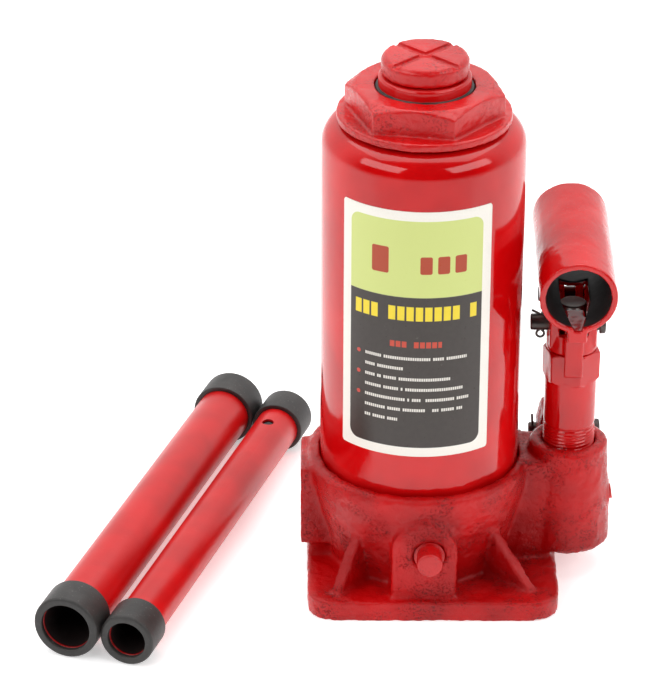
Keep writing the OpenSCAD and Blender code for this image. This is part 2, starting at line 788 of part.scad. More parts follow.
module plunger_cotter() {
    color(dark_steel) on_pin() translate([-yoke_d / 2 - 2.4, 0, 0]) split_pin(plunger_pin_d, [-62, 18]);
}

module on_link_pins() {
    for (z = [lower_pin_z, pin_z]) translate([pump_x, lever, z]) children();
}

module link_plates() {
    color(red) difference() {
        for (side = [-1, 1]) translate([pump_x, lever, 0]) {
            x = side > 0 ? link_x0 : -link_x1;
            translate([x, -link_w / 2, lower_pin_z]) cube([link_t, link_w, link_len]);
            translate([0, 0, lower_pin_z]) along_x(x, x + link_t, link_w / 2);
            translate([0, 0, pin_z]) along_x(x, x + link_t, link_w / 2);
        }
        on_link_pins() along_x(-link_x1 - 1, link_x1 + 1, link_pin_d / 2 + 0.05);
    }
}

module link_pin(grip) {
    difference() {
        union() {
            along_x(-grip - 2.9, grip + 0.4, link_pin_d / 2);
            along_x(grip, grip + 2.3, link_pin_d / 2 + 1.5);
        }
        translate([-grip - 1.3, 0, -8]) cylinder(r = cotter_r, h = 16);
    }
}

module link_pins() {
    color(dark_steel) translate([pump_x, lever, 0]) {
        translate([0, 0, lower_pin_z]) link_pin(lower_grip);
        translate([0, 0, pin_z]) link_pin(upper_grip);
    }
}

module link_cotters() {
    color(dark_steel) translate([pump_x, lever, 0]) {
        translate([-lower_grip - 1.3, 0, lower_pin_z]) rotate([0, 0, 90]) split_pin(link_pin_d, [-55, 55]);
        translate([-upper_grip - 1.3, 0, pin_z]) rotate([0, 0, 90]) split_pin(link_pin_d, [-55, 55]);
    }
}

// ---------- release valve ----------

module release_screw() {
    color(red) translate([release_x, 0, release_z]) difference() {
        union() {
            to_front(-release_nose, -release_face + 0.5, release_r);
            to_front(-release_pocket - 0.85, -release_nose - 1, ball_r);
            to_front(-release_face + 1, -release_face - release_end + 0.6, release_end_d / 2);
            translate([0, -release_face - release_end + 0.6, 0]) rotate([90, 0, 0])
                cylinder(r1 = release_end_d / 2, r2 = release_end_d / 2 - 0.6, h = 0.6);
        }
        rotate([90, 0, 0]) ring(release_r + 1, release_r - 1.5, release_face - 6, release_face - 4);
    }
}

module release_o_ring() {
    color(rubber) translate([release_x, -release_face + 5, release_z]) rotate([90, 0, 0])
        torus(release_r - 0.76, seal_r);
}

module release_ball() {
    color(steel) translate([release_x, -release_seat - ball_rise(ball_r, gallery_r), release_z])
        sphere(r = ball_r);
}

// ---------- check valves ----------

module suction_ball() {
    color(steel) on_pump() translate([0, 0, chamber_z + ball_rise(ball_r, seat_r)]) sphere(r = ball_r);
}

module suction_strainer() {
    color(brass) on_strainer() difference() {
        union() {
            translate([0, 0, -3]) cylinder(r = 1.95, h = 4);
            cylinder(r = 3.4, h = 2.6);
            translate([0, 0, 2.6]) cylinder(r1 = 3.4, r2 = 2.2, h = 1);
        }
        translate([0, 0, -4]) cylinder(r = 1.2, h = 6.4);
        for (a = [0 : 60 : 179]) rotate([0, 0, a]) translate([0, 0, 1.4]) along_x(-5, 5, 0.5);
    }
}

module delivery_ball() {
    color(steel) translate([delivery_x, 0, delivery_z + ball_rise(delivery_ball_r, gallery_r)])
        sphere(r = delivery_ball_r);
}

module delivery_spring() {
    color(steel) translate([delivery_x, 0, 0])
        coil(1.9, 0.3, 3, delivery_z + ball_rise(delivery_ball_r, gallery_r) + 2.2, seat_z - 2.4);
}

module delivery_retainer() {
    color(brass) translate([delivery_x, 0, 0]) ring(delivery_r - 0.04, 1.1, seat_z - 2.4, seat_z - 0.3);
}

module gallery_plug() {
    color(dark_red) on_gallery(gallery_len) difference() {
        along_x(-5.5, 2.6, 2.96);
        along_x(1.4, 4, 1.5);
    }
}

module overload_ball() {
    color(steel) translate([overload_x, 0, overload_z + ball_rise(ball_r, seat_r)]) sphere(r = ball_r);
}

module overload_spring() {
    color(steel) translate([overload_x, 0, 0])
        coil(2, 0.35, 3, overload_z + ball_rise(ball_r, seat_r) + 1.8, floor_z - 2.6);
}

module overload_screw() {
    color(steel) translate([overload_x, 0, 0]) difference() {
        translate([0, 0, floor_z - 2.6]) cylinder(r = overload_r, h = 2.4);
        translate([0, 0, floor_z - 3]) cylinder(r = 0.8, h = 4);
        translate([0, 0, floor_z - 1.2]) cylinder(r = 2, h = 4, $fn = 6);
    }
}

// ---------- pump handle ----------

// Places a handle section with its near end at the origin of its own axis
module lay_section(side_step, along, r) {
    translate([handle_x, handle_y, 0]) rotate([0, 0, handle_a])
        translate([along, -side_step, r]) children();
}

module lay_large() {
    lay_section(0, 0, large_cap_r) children();
}

module lay_small() {
    rise = large_cap_r - small_cap_r;
    reach = large_cap_r + small_cap_r + handle_gap;
    lay_section(sqrt(reach * reach - rise * rise), small_shift, small_cap_r) children();
}

module tube(d, len) {
    difference() {
        along_x(cap_lip, len - cap_lip, d / 2);
        along_x(-1, len + 1, d / 2 - tube_wall);
    }
}

module caps(d, len) {
    for (end = [0, 1]) translate([end * len, 0, 0]) mirror([end, 0, 0]) difference() {
        union() {
            along_x(1, cap_len, d / 2 + cap_wall);
            rotate([0, 90, 0]) cylinder(r1 = d / 2 + cap_wall - 1, r2 = d / 2 + cap_wall, h = 1);
        }
        along_x(cap_lip, cap_len + 1, d / 2);
        along_x(-1, cap_len, d / 2 - tube_wall + 0.1);
    }
}

module large_handle_tube() {
    color(red) lay_large() tube(large_d, large_len);
}

module large_handle_caps() {
    color(rubber) lay_large() caps(large_d, large_len);
}

module small_handle_tube() {
    color(red) lay_small() difference() {
        tube(small_d, small_len);
        translate([small_len - detent_from_end, 0, 0]) cylinder(r = 2.4, h = small_d);
    }
}

module small_handle_caps() {
    color(rubber) lay_small() caps(small_d, small_len);
}

base_casting();
reservoir_shell();
pressure_cylinder();
top_nut();
wiper_seal();
gland_o_ring();
top_gasket();
shell_gasket();
cylinder_gasket();
label_plate();
filler_plug();
ram();
ram_cup_seal();
cup_washer();
cup_screw();
extension_screw();
screw_stop_ring();
pump_body();
pump_washer();
pump_wiper();
pump_plunger();
plunger_o_ring();
handle_socket();
plunger_pin();
plunger_cotter();
link_plates();
link_pins();
link_cotters();
release_screw();
release_o_ring();
release_ball();
suction_ball();
suction_strainer();
delivery_ball();
delivery_spring();
delivery_retainer();
gallery_plug();
overload_ball();
overload_spring();
overload_screw();
large_handle_tube();
large_handle_caps();
small_handle_tube();
small_handle_caps();
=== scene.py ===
import math

import bmesh
import bpy
import numpy as np
from mathutils import Matrix, Vector, noise


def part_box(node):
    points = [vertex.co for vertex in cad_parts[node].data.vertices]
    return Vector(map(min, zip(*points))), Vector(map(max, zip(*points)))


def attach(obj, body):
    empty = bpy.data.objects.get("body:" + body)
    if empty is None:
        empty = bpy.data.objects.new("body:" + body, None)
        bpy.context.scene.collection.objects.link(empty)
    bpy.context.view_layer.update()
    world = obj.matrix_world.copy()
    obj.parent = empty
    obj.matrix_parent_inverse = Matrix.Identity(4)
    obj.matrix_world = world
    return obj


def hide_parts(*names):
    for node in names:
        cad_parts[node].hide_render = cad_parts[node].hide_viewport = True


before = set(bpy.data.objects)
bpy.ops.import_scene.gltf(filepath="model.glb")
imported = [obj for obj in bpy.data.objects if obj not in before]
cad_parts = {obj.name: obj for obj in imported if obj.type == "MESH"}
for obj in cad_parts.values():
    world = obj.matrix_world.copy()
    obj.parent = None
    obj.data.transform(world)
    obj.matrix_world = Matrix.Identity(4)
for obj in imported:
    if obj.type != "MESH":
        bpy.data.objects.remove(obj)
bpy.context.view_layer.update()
MM = 0.001
scene = bpy.context.scene


# ---------- camera, light and floor ----------

def place_camera():
    lens = bpy.data.cameras.new("studio_camera")
    lens.lens = 197.58
    lens.sensor_width = 36
    lens.clip_end = 50
    camera = bpy.data.objects.new("studio_camera", lens)
    scene.collection.objects.link(camera)
    camera.matrix_world = (
        Matrix.Translation((-0.03586, -1.31424, 0.77528))
        @ Matrix.Rotation(math.radians(62.541), 4, "X")
        @ Matrix.Rotation(math.radians(0.235), 4, "Z")
    )
    scene.camera = camera


def softbox(name, place, aim, size, power, tint=(1, 1, 1)):
    lamp = bpy.data.lights.new(name, "AREA")
    lamp.shape = "RECTANGLE"
    lamp.size, lamp.size_y = size
    lamp.energy = power
    lamp.color = tint
    holder = bpy.data.objects.new(name, lamp)
    scene.collection.objects.link(holder)
    holder.location = place
    holder.rotation_euler = (Vector(aim) - Vector(place)).to_track_quat("-Z", "Y").to_euler()
    holder.visible_camera = False


def node(tree, kind, values=None, **settings):
    made = tree.nodes.new(kind)
    for key, value in settings.items():
        setattr(made, key, value)
    for key, value in (values or {}).items():
        if isinstance(value, bpy.types.NodeSocket):
            tree.links.new(value, made.inputs[key])
        else:
            made.inputs[key].default_value = value
    return made


def calc(tree, operation, *terms, clamp=False):
    made = tree.nodes.new("ShaderNodeMath")
    made.operation = operation
    made.use_clamp = clamp
    for slot, term in zip(made.inputs, terms):
        if isinstance(term, bpy.types.NodeSocket):
            tree.links.new(term, slot)
        else:
            slot.default_value = term
    return made.outputs[0]


def mix_colour(tree, share, first, second):
    made = node(tree, "ShaderNodeMix", data_type="RGBA")
    for slot, value in ((0, share), (6, first), (7, second)):
        if isinstance(value, bpy.types.NodeSocket):
            tree.links.new(value, made.inputs[slot])
        else:
            made.inputs[slot].default_value = value
    return made.outputs[2]


def spread(tree, value, low, high, to_low=0.0, to_high=1.0, smooth=True):
    made = node(tree, "ShaderNodeMapRange", {
        "Value": value, "From Min": low, "From Max": high, "To Min": to_low, "To Max": to_high})
    made.interpolation_type = "SMOOTHSTEP" if smooth else "LINEAR"
    return made.outputs[0]


def make_surroundings():
    world = bpy.data.worlds.new("white_studio")
    world.use_nodes = True
    tree = world.node_tree
    tree.nodes.clear()
    direction = node(tree, "ShaderNodeTexCoord").outputs["Generated"]
    split = node(tree, "ShaderNodeSeparateXYZ", {"Vector": direction})
    towards_back = spread(tree, split.outputs["Y"], -0.45, 0.35, 0.03, 1.0)
    shade = node(tree, "ShaderNodeBackground", {"Color": (1, 1, 1, 1), "Strength": towards_back})
    end = tree.nodes.new("ShaderNodeOutputWorld")
    tree.links.new(shade.outputs[0], end.inputs["Surface"])
    scene.world = world

    softbox("softbox_left", (-0.86, -0.66, 0.86), (0, 0, 0.08), (1.1, 0.6), 7)
    softbox("softbox_right", (0.90, -0.62, 0.86), (0, 0, 0.08), (1.1, 0.6), 7)
    softbox("softbox_top", (0.0, 0.32, 1.25), (0, 0.16, 0), (1.6, 1.2), 10)

    grey = bpy.data.materials.new("pale_floor")
    grey.use_nodes = True
    tree = grey.node_tree
    spot = node(tree, "ShaderNodeTexCoord").outputs["Object"]
    mottle = node(tree, "ShaderNodeTexNoise", {"Vector": spot, "Scale": 40.0, "Detail": 4.0})
    paint = tree.nodes["Principled BSDF"]
    tree.links.new(mix_colour(tree, mottle.outputs[0], (0.90, 0.90, 0.90, 1), (0.93, 0.93, 0.93, 1)),
                   paint.inputs["Base Color"])
    paint.inputs["Roughness"].default_value = 0.6
    paint.inputs["Specular IOR Level"].default_value = 0.2
    # the floor glows like lit paper round the jack and goes dark towards the camera
    near = node(tree, "ShaderNodeSeparateXYZ", {"Vector": spot}).outputs["Y"]
    paint.inputs["Emission Color"].default_value = (1, 1, 1, 1)
    tree.links.new(spread(tree, near, -0.42, -0.30, 0.0, 0.45), paint.inputs["Emission Strength"])
    mesh = bpy.data.meshes.new("studio_floor")
    shape = bmesh.new()
    bmesh.ops.create_circle(shape, cap_ends=True, segments=96, radius=4.0)
    shape.to_mesh(mesh)
    shape.free()
    floor = bpy.data.objects.new("studio_floor", mesh)
    floor.location.z = -0.00005
    mesh.materials.append(grey)
    scene.collection.objects.link(floor)


place_camera()
scene.view_settings.view_transform = "Standard"
make_surroundings()


# ---------- shader groups ----------

def new_group(name, inputs, outputs):
    tree = bpy.data.node_groups.new(name, "ShaderNodeTree")
    for label, value in inputs:
        socket = tree.interface.new_socket(label, in_out="INPUT", socket_type="NodeSocketFloat")
        socket.default_value = value
    for label in outputs:
        tree.interface.new_socket(label, in_out="OUTPUT", socket_type="NodeSocketFloat")
    entry = tree.nodes.new("NodeGroupInput")
    leave = tree.nodes.new("NodeGroupOutput")
    return tree, entry.outputs, leave.inputs


def own_place(tree):
    return node(tree, "ShaderNodeTexCoord").outputs["Object"]


def speckle(tree, scale, detail=2.0, rough=0.5, distortion=0.0):
    return node(tree, "ShaderNodeTexNoise", {
        "Vector": own_place(tree), "Scale": scale, "Detail": detail, "Roughness": rough,
        "Distortion": distortion}).outputs[0]


def group_cast_grit():
    tree, get, put = new_group("Sand_Cast_Grit", [("Grain", 520.0), ("Pits", 0.5)], ["Height", "Pit Mask"])
    coarse = speckle(tree, calc(tree, "MULTIPLY", get["Grain"], 0.7), 5.0, 0.66)
    fine = speckle(tree, calc(tree, "MULTIPLY", get["Grain"], 2.1), 4.0, 0.66)
    patch = spread(tree, speckle(tree, 70.0, 4.0, 0.6), 0.44, 0.62)
    hole = spread(tree, fine, 0.38, 0.47, 1.0, 0.0)
    pit = calc(tree, "MULTIPLY", calc(tree, "MULTIPLY", hole, patch), get["Pits"])
    body = calc(tree, "ADD", calc(tree, "MULTIPLY", coarse, 0.6), calc(tree, "MULTIPLY", fine, 0.4))
    tree.links.new(calc(tree, "SUBTRACT", body, calc(tree, "MULTIPLY", pit, 0.35)), put["Height"])
    tree.links.new(pit, put["Pit Mask"])
    return tree


def group_paint_skin():
    tree, get, put = new_group("Sprayed_Paint_Skin", [("Peel", 300.0)], ["Height", "Film"])
    ripple = speckle(tree, get["Peel"], 2.0, 0.5, 0.3)
    slow = speckle(tree, calc(tree, "MULTIPLY", get["Peel"], 0.14), 2.0)
    height = calc(tree, "ADD", calc(tree, "MULTIPLY", ripple, 0.45), calc(tree, "MULTIPLY", slow, 0.55))
    tree.links.new(height, put["Height"])
    tree.links.new(slow, put["Film"])
    return tree


def group_edge_rub_highlight_shade():
    tree, get, put = new_group("Edge_Rub", [("Low", 0.52), ("High", 0.6), ("Break Up", 180.0)],
                               ["Raised", "Hollow"])
    # Raised marks sharp edges and Hollow marks hollows; the red enamels use them to paint highlights on edges
    # and shade in hollows
    bend = node(tree, "ShaderNodeNewGeometry").outputs["Pointiness"]
    grain = speckle(tree, get["Break Up"], 4.0, 0.6)
    shifted = calc(tree, "ADD", bend, calc(tree, "MULTIPLY", calc(tree, "SUBTRACT", grain, 0.5), 0.12))
    raised = node(tree, "ShaderNodeMapRange", {
        "Value": shifted, "From Min": get["Low"], "From Max": get["High"]}, interpolation_type="SMOOTHSTEP")
    hollow = spread(tree, bend, 0.40, 0.485, 1.0, 0.0)
    tree.links.new(raised.outputs[0], put["Raised"])
    tree.links.new(hollow, put["Hollow"])
    return tree


def group_dust():
    tree, get, put = new_group("Settled_Dust", [("Amount", 0.3)], ["Mask"])
    facing = node(tree, "ShaderNodeSeparateXYZ", {
        "Vector": node(tree, "ShaderNodeNewGeometry").outputs["Normal"]}).outputs["Z"]
    up = spread(tree, facing, 0.35, 0.95)
    specks = spread(tree, speckle(tree, 900.0, 3.0, 0.7), 0.60, 0.74)
    haze = spread(tree, speckle(tree, 30.0, 3.0), 0.40, 0.75)
    both = calc(tree, "MULTIPLY", up, calc(tree, "ADD", specks, calc(tree, "MULTIPLY", haze, 0.25)))
    tree.links.new(calc(tree, "MULTIPLY", both, get["Amount"], clamp=True), put["Mask"])
    return tree


def group_turned_lines():
    tree, get, put = new_group("Turned_Lines", [("Lines", 4000.0), ("Smear", 60.0)], ["Height", "Tone"])
    split = node(tree, "ShaderNodeSeparateXYZ", {"Vector": own_place(tree)})
    thin = calc(tree, "MULTIPLY", split.outputs["Z"], get["Lines"])
    x = calc(tree, "MULTIPLY", split.outputs["X"], get["Smear"])
    y = calc(tree, "MULTIPLY", split.outputs["Y"], get["Smear"])
    place = node(tree, "ShaderNodeCombineXYZ", {"X": x, "Y": y, "Z": thin}).outputs[0]
    rings = node(tree, "ShaderNodeTexNoise", {"Vector": place, "Scale": 1.0, "Detail": 3.0}).outputs[0]
    tree.links.new(rings, put["Height"])
    tree.links.new(spread(tree, speckle(tree, 70.0, 3.0), 0.3, 0.7), put["Tone"])
    return tree


def group_print_block():
    tree, get, put = new_group("Print_Block", [
        ("Across", 0.0), ("Up", 0.0), ("Centre Across", 0.0), ("Centre Up", 0.0),
        ("Half Width", 1.0), ("Half Height", 1.0), ("Corner", 0.2)], ["Mask"])
    past = []
    sides = (("Across", "Centre Across", "Half Width"), ("Up", "Centre Up", "Half Height"))
    for place, centre, half in sides:
        away = calc(tree, "ABSOLUTE", calc(tree, "SUBTRACT", get[place], get[centre]))
        inner = calc(tree, "SUBTRACT", get[half], get["Corner"])
        past.append(calc(tree, "MAXIMUM", calc(tree, "SUBTRACT", away, inner), 0.0))
    squares = calc(tree, "ADD", calc(tree, "POWER", past[0], 2.0), calc(tree, "POWER", past[1], 2.0))
    gap = calc(tree, "SUBTRACT", calc(tree, "SQRT", squares), get["Corner"])
    tree.links.new(spread(tree, gap, -0.06, 0.06, 1.0, 0.0), put["Mask"])
    return tree


def group_greeked_line():
    tree, get, put = new_group("Greeked_Line", [
        ("Across", 0.0), ("Up", 0.0), ("Centre Up", 0.0), ("Half Height", 0.5), ("Start", -20.0),
        ("End", 20.0), ("Pitch", 1.2), ("Seed", 1.0)], ["Mask"])
    along = calc(tree, "DIVIDE", calc(tree, "SUBTRACT", get["Across"], get["Start"]), get["Pitch"])
    cell = calc(tree, "FLOOR", along)
    chance = node(tree, "ShaderNodeTexWhiteNoise", {"W": calc(tree, "ADD", cell, get["Seed"])},
                  noise_dimensions="1D").outputs["Value"]
    filled = calc(tree, "LESS_THAN", chance, 0.84)
    part = calc(tree, "ABSOLUTE", calc(tree, "SUBTRACT", calc(tree, "FRACT", along), 0.5))
    mark = spread(tree, part, 0.36, 0.42, 1.0, 0.0)
    away = calc(tree, "ABSOLUTE", calc(tree, "SUBTRACT", get["Up"], get["Centre Up"]))
    row = spread(tree, calc(tree, "SUBTRACT", away, get["Half Height"]), -0.05, 0.05, 1.0, 0.0)
    begun = calc(tree, "GREATER_THAN", get["Across"], get["Start"])
    open_end = calc(tree, "LESS_THAN", get["Across"], get["End"])
    total = calc(tree, "MULTIPLY", calc(tree, "MULTIPLY", filled, mark), row)
    total = calc(tree, "MULTIPLY", calc(tree, "MULTIPLY", total, begun), open_end)
    tree.links.new(total, put["Mask"])
    return tree


GRIT = group_cast_grit()
SKIN = group_paint_skin()
RUB_HIGHLIGHT_SHADE = group_edge_rub_highlight_shade()
DUST = group_dust()
RINGS = group_turned_lines()
BLOCK = group_print_block()
LINE = group_greeked_line()


def use(tree, group, **values):
    made = tree.nodes.new("ShaderNodeGroup")
    made.node_tree = group
    for key, value in values.items():
        socket = made.inputs[key.replace("_", " ")]
        if isinstance(value, bpy.types.NodeSocket):
            tree.links.new(value, socket)
        else:
            socket.default_value = value
    return made.outputs


def bore_shade_mask(tree, bore):
    """1 on the wall of a bore (middle, direction, radius, half length), fading out near its mouths."""
    middle, direction, radius, half = bore

    def vector_math(operation, *terms):
        return node(tree, "ShaderNodeVectorMath", dict(enumerate(terms)), operation=operation).outputs

    from_middle = vector_math("SUBTRACT", own_place(tree), middle)[0]
    across = vector_math("CROSS_PRODUCT", from_middle, direction)[0]
    away = vector_math("LENGTH", across)["Value"]
    along = vector_math("DOT_PRODUCT", from_middle, direction)["Value"]
    depth = calc(tree, "SUBTRACT", half, calc(tree, "ABSOLUTE", along))
    wall = spread(tree, away, radius + 0.0003, radius + 0.0009, 1.0, 0.0)
    return calc(tree, "MULTIPLY", wall, spread(tree, depth, -0.0002, 0.0012))


def new_finish(name):
    finish = bpy.data.materials.new(name)
    finish.use_nodes = True
    tree = finish.node_tree
    return finish, tree, tree.nodes["Principled BSDF"]


def bump(tree, bsdf, height, depth, strength=1.0):
    made = node(tree, "ShaderNodeBump", {"Height": height, "Distance": depth, "Strength": strength})
    tree.links.new(made.outputs[0], bsdf.inputs["Normal"])


# ---------- finishes ----------

RED = (0.64, 0.0025, 0.0035, 1)
DEEP_RED = (0.50, 0.001, 0.002, 1)
CAST_RED = (0.56, 0.0015, 0.0025, 1)
CAST_DEEP_RED = (0.36, 0.0008, 0.0015, 1)
# rubbed paint and painted highlight: the light pink that raised edges of the red enamels are mixed towards
RUBBED_AND_HIGHLIGHT_RED = (0.78, 0.045, 0.04, 1)
GREY_DUST = (0.62, 0.52, 0.50, 1)


def red_enamel(name, grit=0.0, grain=520.0, pits=0.0, peel=0.00004, peel_size=300.0, gloss=0.13,
               rub_and_highlight=0.25, dust=0.15, bare=None, bore=None, tones=(RED, DEEP_RED), shine=0.5):
    """Red enamel over steel; it is unpainted below the height bare, and the bore's wall is painted nearly
    black as shade.
    """
    finish, tree, bsdf = new_finish(name)
    skin = use(tree, SKIN, Peel=peel_size)
    edges = use(tree, RUB_HIGHLIGHT_SHADE)
    colour = mix_colour(tree, spread(tree, skin["Film"], 0.3, 0.7), *tones)
    # hollows mixed towards dark red: painted shade, with paint pooled deeper there
    colour = mix_colour(tree, calc(tree, "MULTIPLY", edges["Hollow"], 0.55), colour, (0.33, 0.001, 0.002, 1))
    # raised edges mixed towards light pink: partly rubbed paint, partly a painted highlight
    colour = mix_colour(tree, calc(tree, "MULTIPLY", edges["Raised"], rub_and_highlight), colour, RUBBED_AND_HIGHLIGHT_RED)
    height = calc(tree, "MULTIPLY", skin["Height"], peel / MM)
    rough = calc(tree, "ADD", calc(tree, "MULTIPLY", skin["Film"], 0.05), gloss)
    if grit:
        sand = use(tree, GRIT, Grain=grain, Pits=pits)
        height = calc(tree, "ADD", height, calc(tree, "MULTIPLY", sand["Height"], grit / MM))
        pitted = calc(tree, "MULTIPLY", sand["Pit Mask"], 0.8)
        colour = mix_colour(tree, pitted, colour, (0.09, 0.001, 0.001, 1))
        rough = calc(tree, "ADD", rough, calc(tree, "MULTIPLY", sand["Height"], 0.12))
    film = use(tree, DUST, Amount=dust)["Mask"]
    colour = mix_colour(tree, film, colour, GREY_DUST)
    rough = calc(tree, "ADD", rough, calc(tree, "MULTIPLY", film, 0.4))
    if bare is not None:
        rings = use(tree, RINGS)
        up = node(tree, "ShaderNodeSeparateXYZ", {"Vector": own_place(tree)}).outputs["Z"]
        ragged = calc(tree, "ADD", up, calc(tree, "MULTIPLY", speckle(tree, 400.0, 3.0), 0.0006))
        painted = spread(tree, ragged, bare, bare + 0.0003)
        steel = mix_colour(tree, rings["Tone"], (0.56, 0.55, 0.53, 1), (0.40, 0.39, 0.38, 1))
        colour = mix_colour(tree, painted, steel, colour)
        rough = calc(tree, "MULTIPLY_ADD", painted, calc(tree, "SUBTRACT", rough, 0.22), 0.22)
        tree.links.new(calc(tree, "SUBTRACT", 1.0, painted), bsdf.inputs["Metallic"])
        line = calc(tree, "MULTIPLY", rings["Height"], 0.003)
        height = calc(tree, "MULTIPLY_ADD", painted, calc(tree, "SUBTRACT", height, line), line)
    if bore is not None:
        # painted shade: the bore's wall is made nearly black, as the bore lies in shade
        painted_bore_shade = bore_shade_mask(tree, bore)
        colour = mix_colour(tree, painted_bore_shade, colour, (0.012, 0.006, 0.006, 1))
        rough = calc(tree, "MAXIMUM", rough, calc(tree, "MULTIPLY", painted_bore_shade, 0.55))
    tree.links.new(colour, bsdf.inputs["Base Color"])
    tree.links.new(rough, bsdf.inputs["Roughness"])
    bsdf.inputs["IOR"].default_value = 1.52
    bsdf.inputs["Specular IOR Level"].default_value = shine
    bump(tree, bsdf, height, MM)
    return finish


def bare_metal(name, light, dark, gloss, lines=4000.0, line_depth=0.004, stain=0.2,
               stain_colour=(0.1, 0.06, 0.04, 1)):
    """Turned or drawn metal with fine lines round it, stains and brighter edges."""
    finish, tree, bsdf = new_finish(name)
    rings = use(tree, RINGS, Lines=lines)
    edges = use(tree, RUB_HIGHLIGHT_SHADE, Low=0.51, High=0.58)
    colour = mix_colour(tree, rings["Tone"], light, dark)
    blot = calc(tree, "MULTIPLY", spread(tree, speckle(tree, 240.0, 5.0, 0.65), 0.52, 0.72), stain)
    colour = mix_colour(tree, blot, colour, stain_colour)
    brighter = tuple(min(1.0, 1.35 * c) for c in light[:3]) + (1,)
    colour = mix_colour(tree, calc(tree, "MULTIPLY", edges["Raised"], 0.5), colour, brighter)
    rough = calc(tree, "ADD", gloss, calc(tree, "MULTIPLY", blot, 0.35))
    rough = calc(tree, "ADD", rough, calc(tree, "MULTIPLY", rings["Height"], 0.08))
    tree.links.new(colour, bsdf.inputs["Base Color"])
    tree.links.new(rough, bsdf.inputs["Roughness"])
    bsdf.inputs["Metallic"].default_value = 1.0
    bump(tree, bsdf, calc(tree, "MULTIPLY", rings["Height"], line_depth), MM)
    return finish


def soft_plastic(name, colour_a, colour_b, gloss, grain=1400.0, depth=0.00002, scuff=0.2):
    finish, tree, bsdf = new_finish(name)
    edges = use(tree, RUB_HIGHLIGHT_SHADE, Low=0.505, High=0.58, Break_Up=500.0)
    leather = speckle(tree, grain, 4.0, 0.6)
    tone = spread(tree, speckle(tree, 60.0, 3.0), 0.3, 0.7)
    colour = mix_colour(tree, tone, colour_a, colour_b)
    pale = tuple(min(1.0, 1.9 * c + 0.01) for c in colour_a[:3]) + (1,)
    colour = mix_colour(tree, calc(tree, "MULTIPLY", edges["Raised"], scuff), colour, pale)
    film = use(tree, DUST, Amount=0.35)["Mask"]
    colour = mix_colour(tree, film, colour, (0.35, 0.33, 0.31, 1))
    tree.links.new(colour, bsdf.inputs["Base Color"])
    tree.links.new(calc(tree, "ADD", gloss, calc(tree, "MULTIPLY", leather, 0.18)), bsdf.inputs["Roughness"])
    bump(tree, bsdf, calc(tree, "MULTIPLY", leather, depth / MM), MM)
    return finish


def printed_label(name, radius, middle, low, high):
    """Printed label: cream border, green-yellow panel over a dark one, and plain blocks and bars as print."""
    finish, tree, bsdf = new_finish(name)
    turned = node(tree, "ShaderNodeMapping", {
        "Vector": own_place(tree), "Rotation": (0, 0, -math.radians(middle))}).outputs[0]
    split = node(tree, "ShaderNodeSeparateXYZ", {"Vector": turned})
    angle = calc(tree, "ARCTAN2", split.outputs["Y"], split.outputs["X"])
    across = calc(tree, "MULTIPLY", angle, radius / MM)
    up = calc(tree, "SUBTRACT", calc(tree, "MULTIPLY", split.outputs["Z"], 1 / MM), low / MM)
    tall = (high - low) / MM
    border = 3.8
    fold = 67.3

    def block(x, z, half_x, half_z, corner=0.25):
        return use(tree, BLOCK, Across=across, Up=up, Centre_Across=x, Centre_Up=z,
                   Half_Width=half_x, Half_Height=half_z, Corner=corner)["Mask"]

    def line(z, half, start, end, pitch, seed):
        return use(tree, LINE, Across=across, Up=up, Centre_Up=z, Half_Height=half, Start=start,
                   End=end, Pitch=pitch, Seed=seed)["Mask"]

    fibre = speckle(tree, 1500.0, 3.0)
    paper = mix_colour(tree, fibre, (0.86, 0.82, 0.74, 1), (0.91, 0.88, 0.81, 1))
    half = 30.3 - border
    panel = block(0.0, tall / 2, half, tall / 2 - border, 4.0)
    upper = calc(tree, "MULTIPLY", panel, spread(tree, up, fold - 0.05, fold + 0.05))
    lower = calc(tree, "SUBTRACT", panel, upper, clamp=True)
    colour = mix_colour(tree, upper, paper, (0.62, 0.69, 0.22, 1))
    colour = mix_colour(tree, lower, colour, mix_colour(tree, speckle(tree, 500.0), (0.030, 0.022, 0.018, 1),
                                                        (0.045, 0.034, 0.028, 1)))
    big = [(-13.5, 3.4, 5.4)] + [(4.2 + 6.6 * i, 2.3, 3.6) for i in range(3)]
    for x, half_x, half_z in big:
        mark = block(x, 82.0 if half_x > 3 else 80.6, half_x, half_z, 0.8)
        colour = mix_colour(tree, mark, colour, (0.42, 0.045, 0.008, 1))
    colour = mix_colour(tree, line(60.5, 2.9, -24.4, 24.4, 3.5, 3.0), colour, (0.86, 0.66, 0.02, 1))
    colour = mix_colour(tree, line(47.6, 1.25, -9.5, 10.5, 2.3, 40.0), colour, (0.55, 0.05, 0.02, 1))
    for i in range(7):
        row = 41.6 - 4.35 * i
        start = -19.5
        end = (20.5, -4.0, 15.0, 19.0, 21.5, 19.0, -6.0)[i]
        mark = line(row, 0.62, start, end, 0.86, 7.0 + 31.0 * i)
        colour = mix_colour(tree, mark, colour, (0.74, 0.70, 0.64, 1))
        if i in (0, 2, 4):
            dot = block(-22.4, row, 0.85, 0.85, 0.84)
            colour = mix_colour(tree, dot, colour, (0.55, 0.05, 0.03, 1))
    scuff = spread(tree, speckle(tree, 260.0, 6.0, 0.7), 0.66, 0.8, 0.0, 0.35)
    colour = mix_colour(tree, scuff, colour, (0.5, 0.46, 0.4, 1))
    tree.links.new(colour, bsdf.inputs["Base Color"])
    tree.links.new(calc(tree, "ADD", 0.24, calc(tree, "MULTIPLY", fibre, 0.12)), bsdf.inputs["Roughness"])
    bump(tree, bsdf, calc(tree, "MULTIPLY", fibre, 0.006), MM)
    return finish


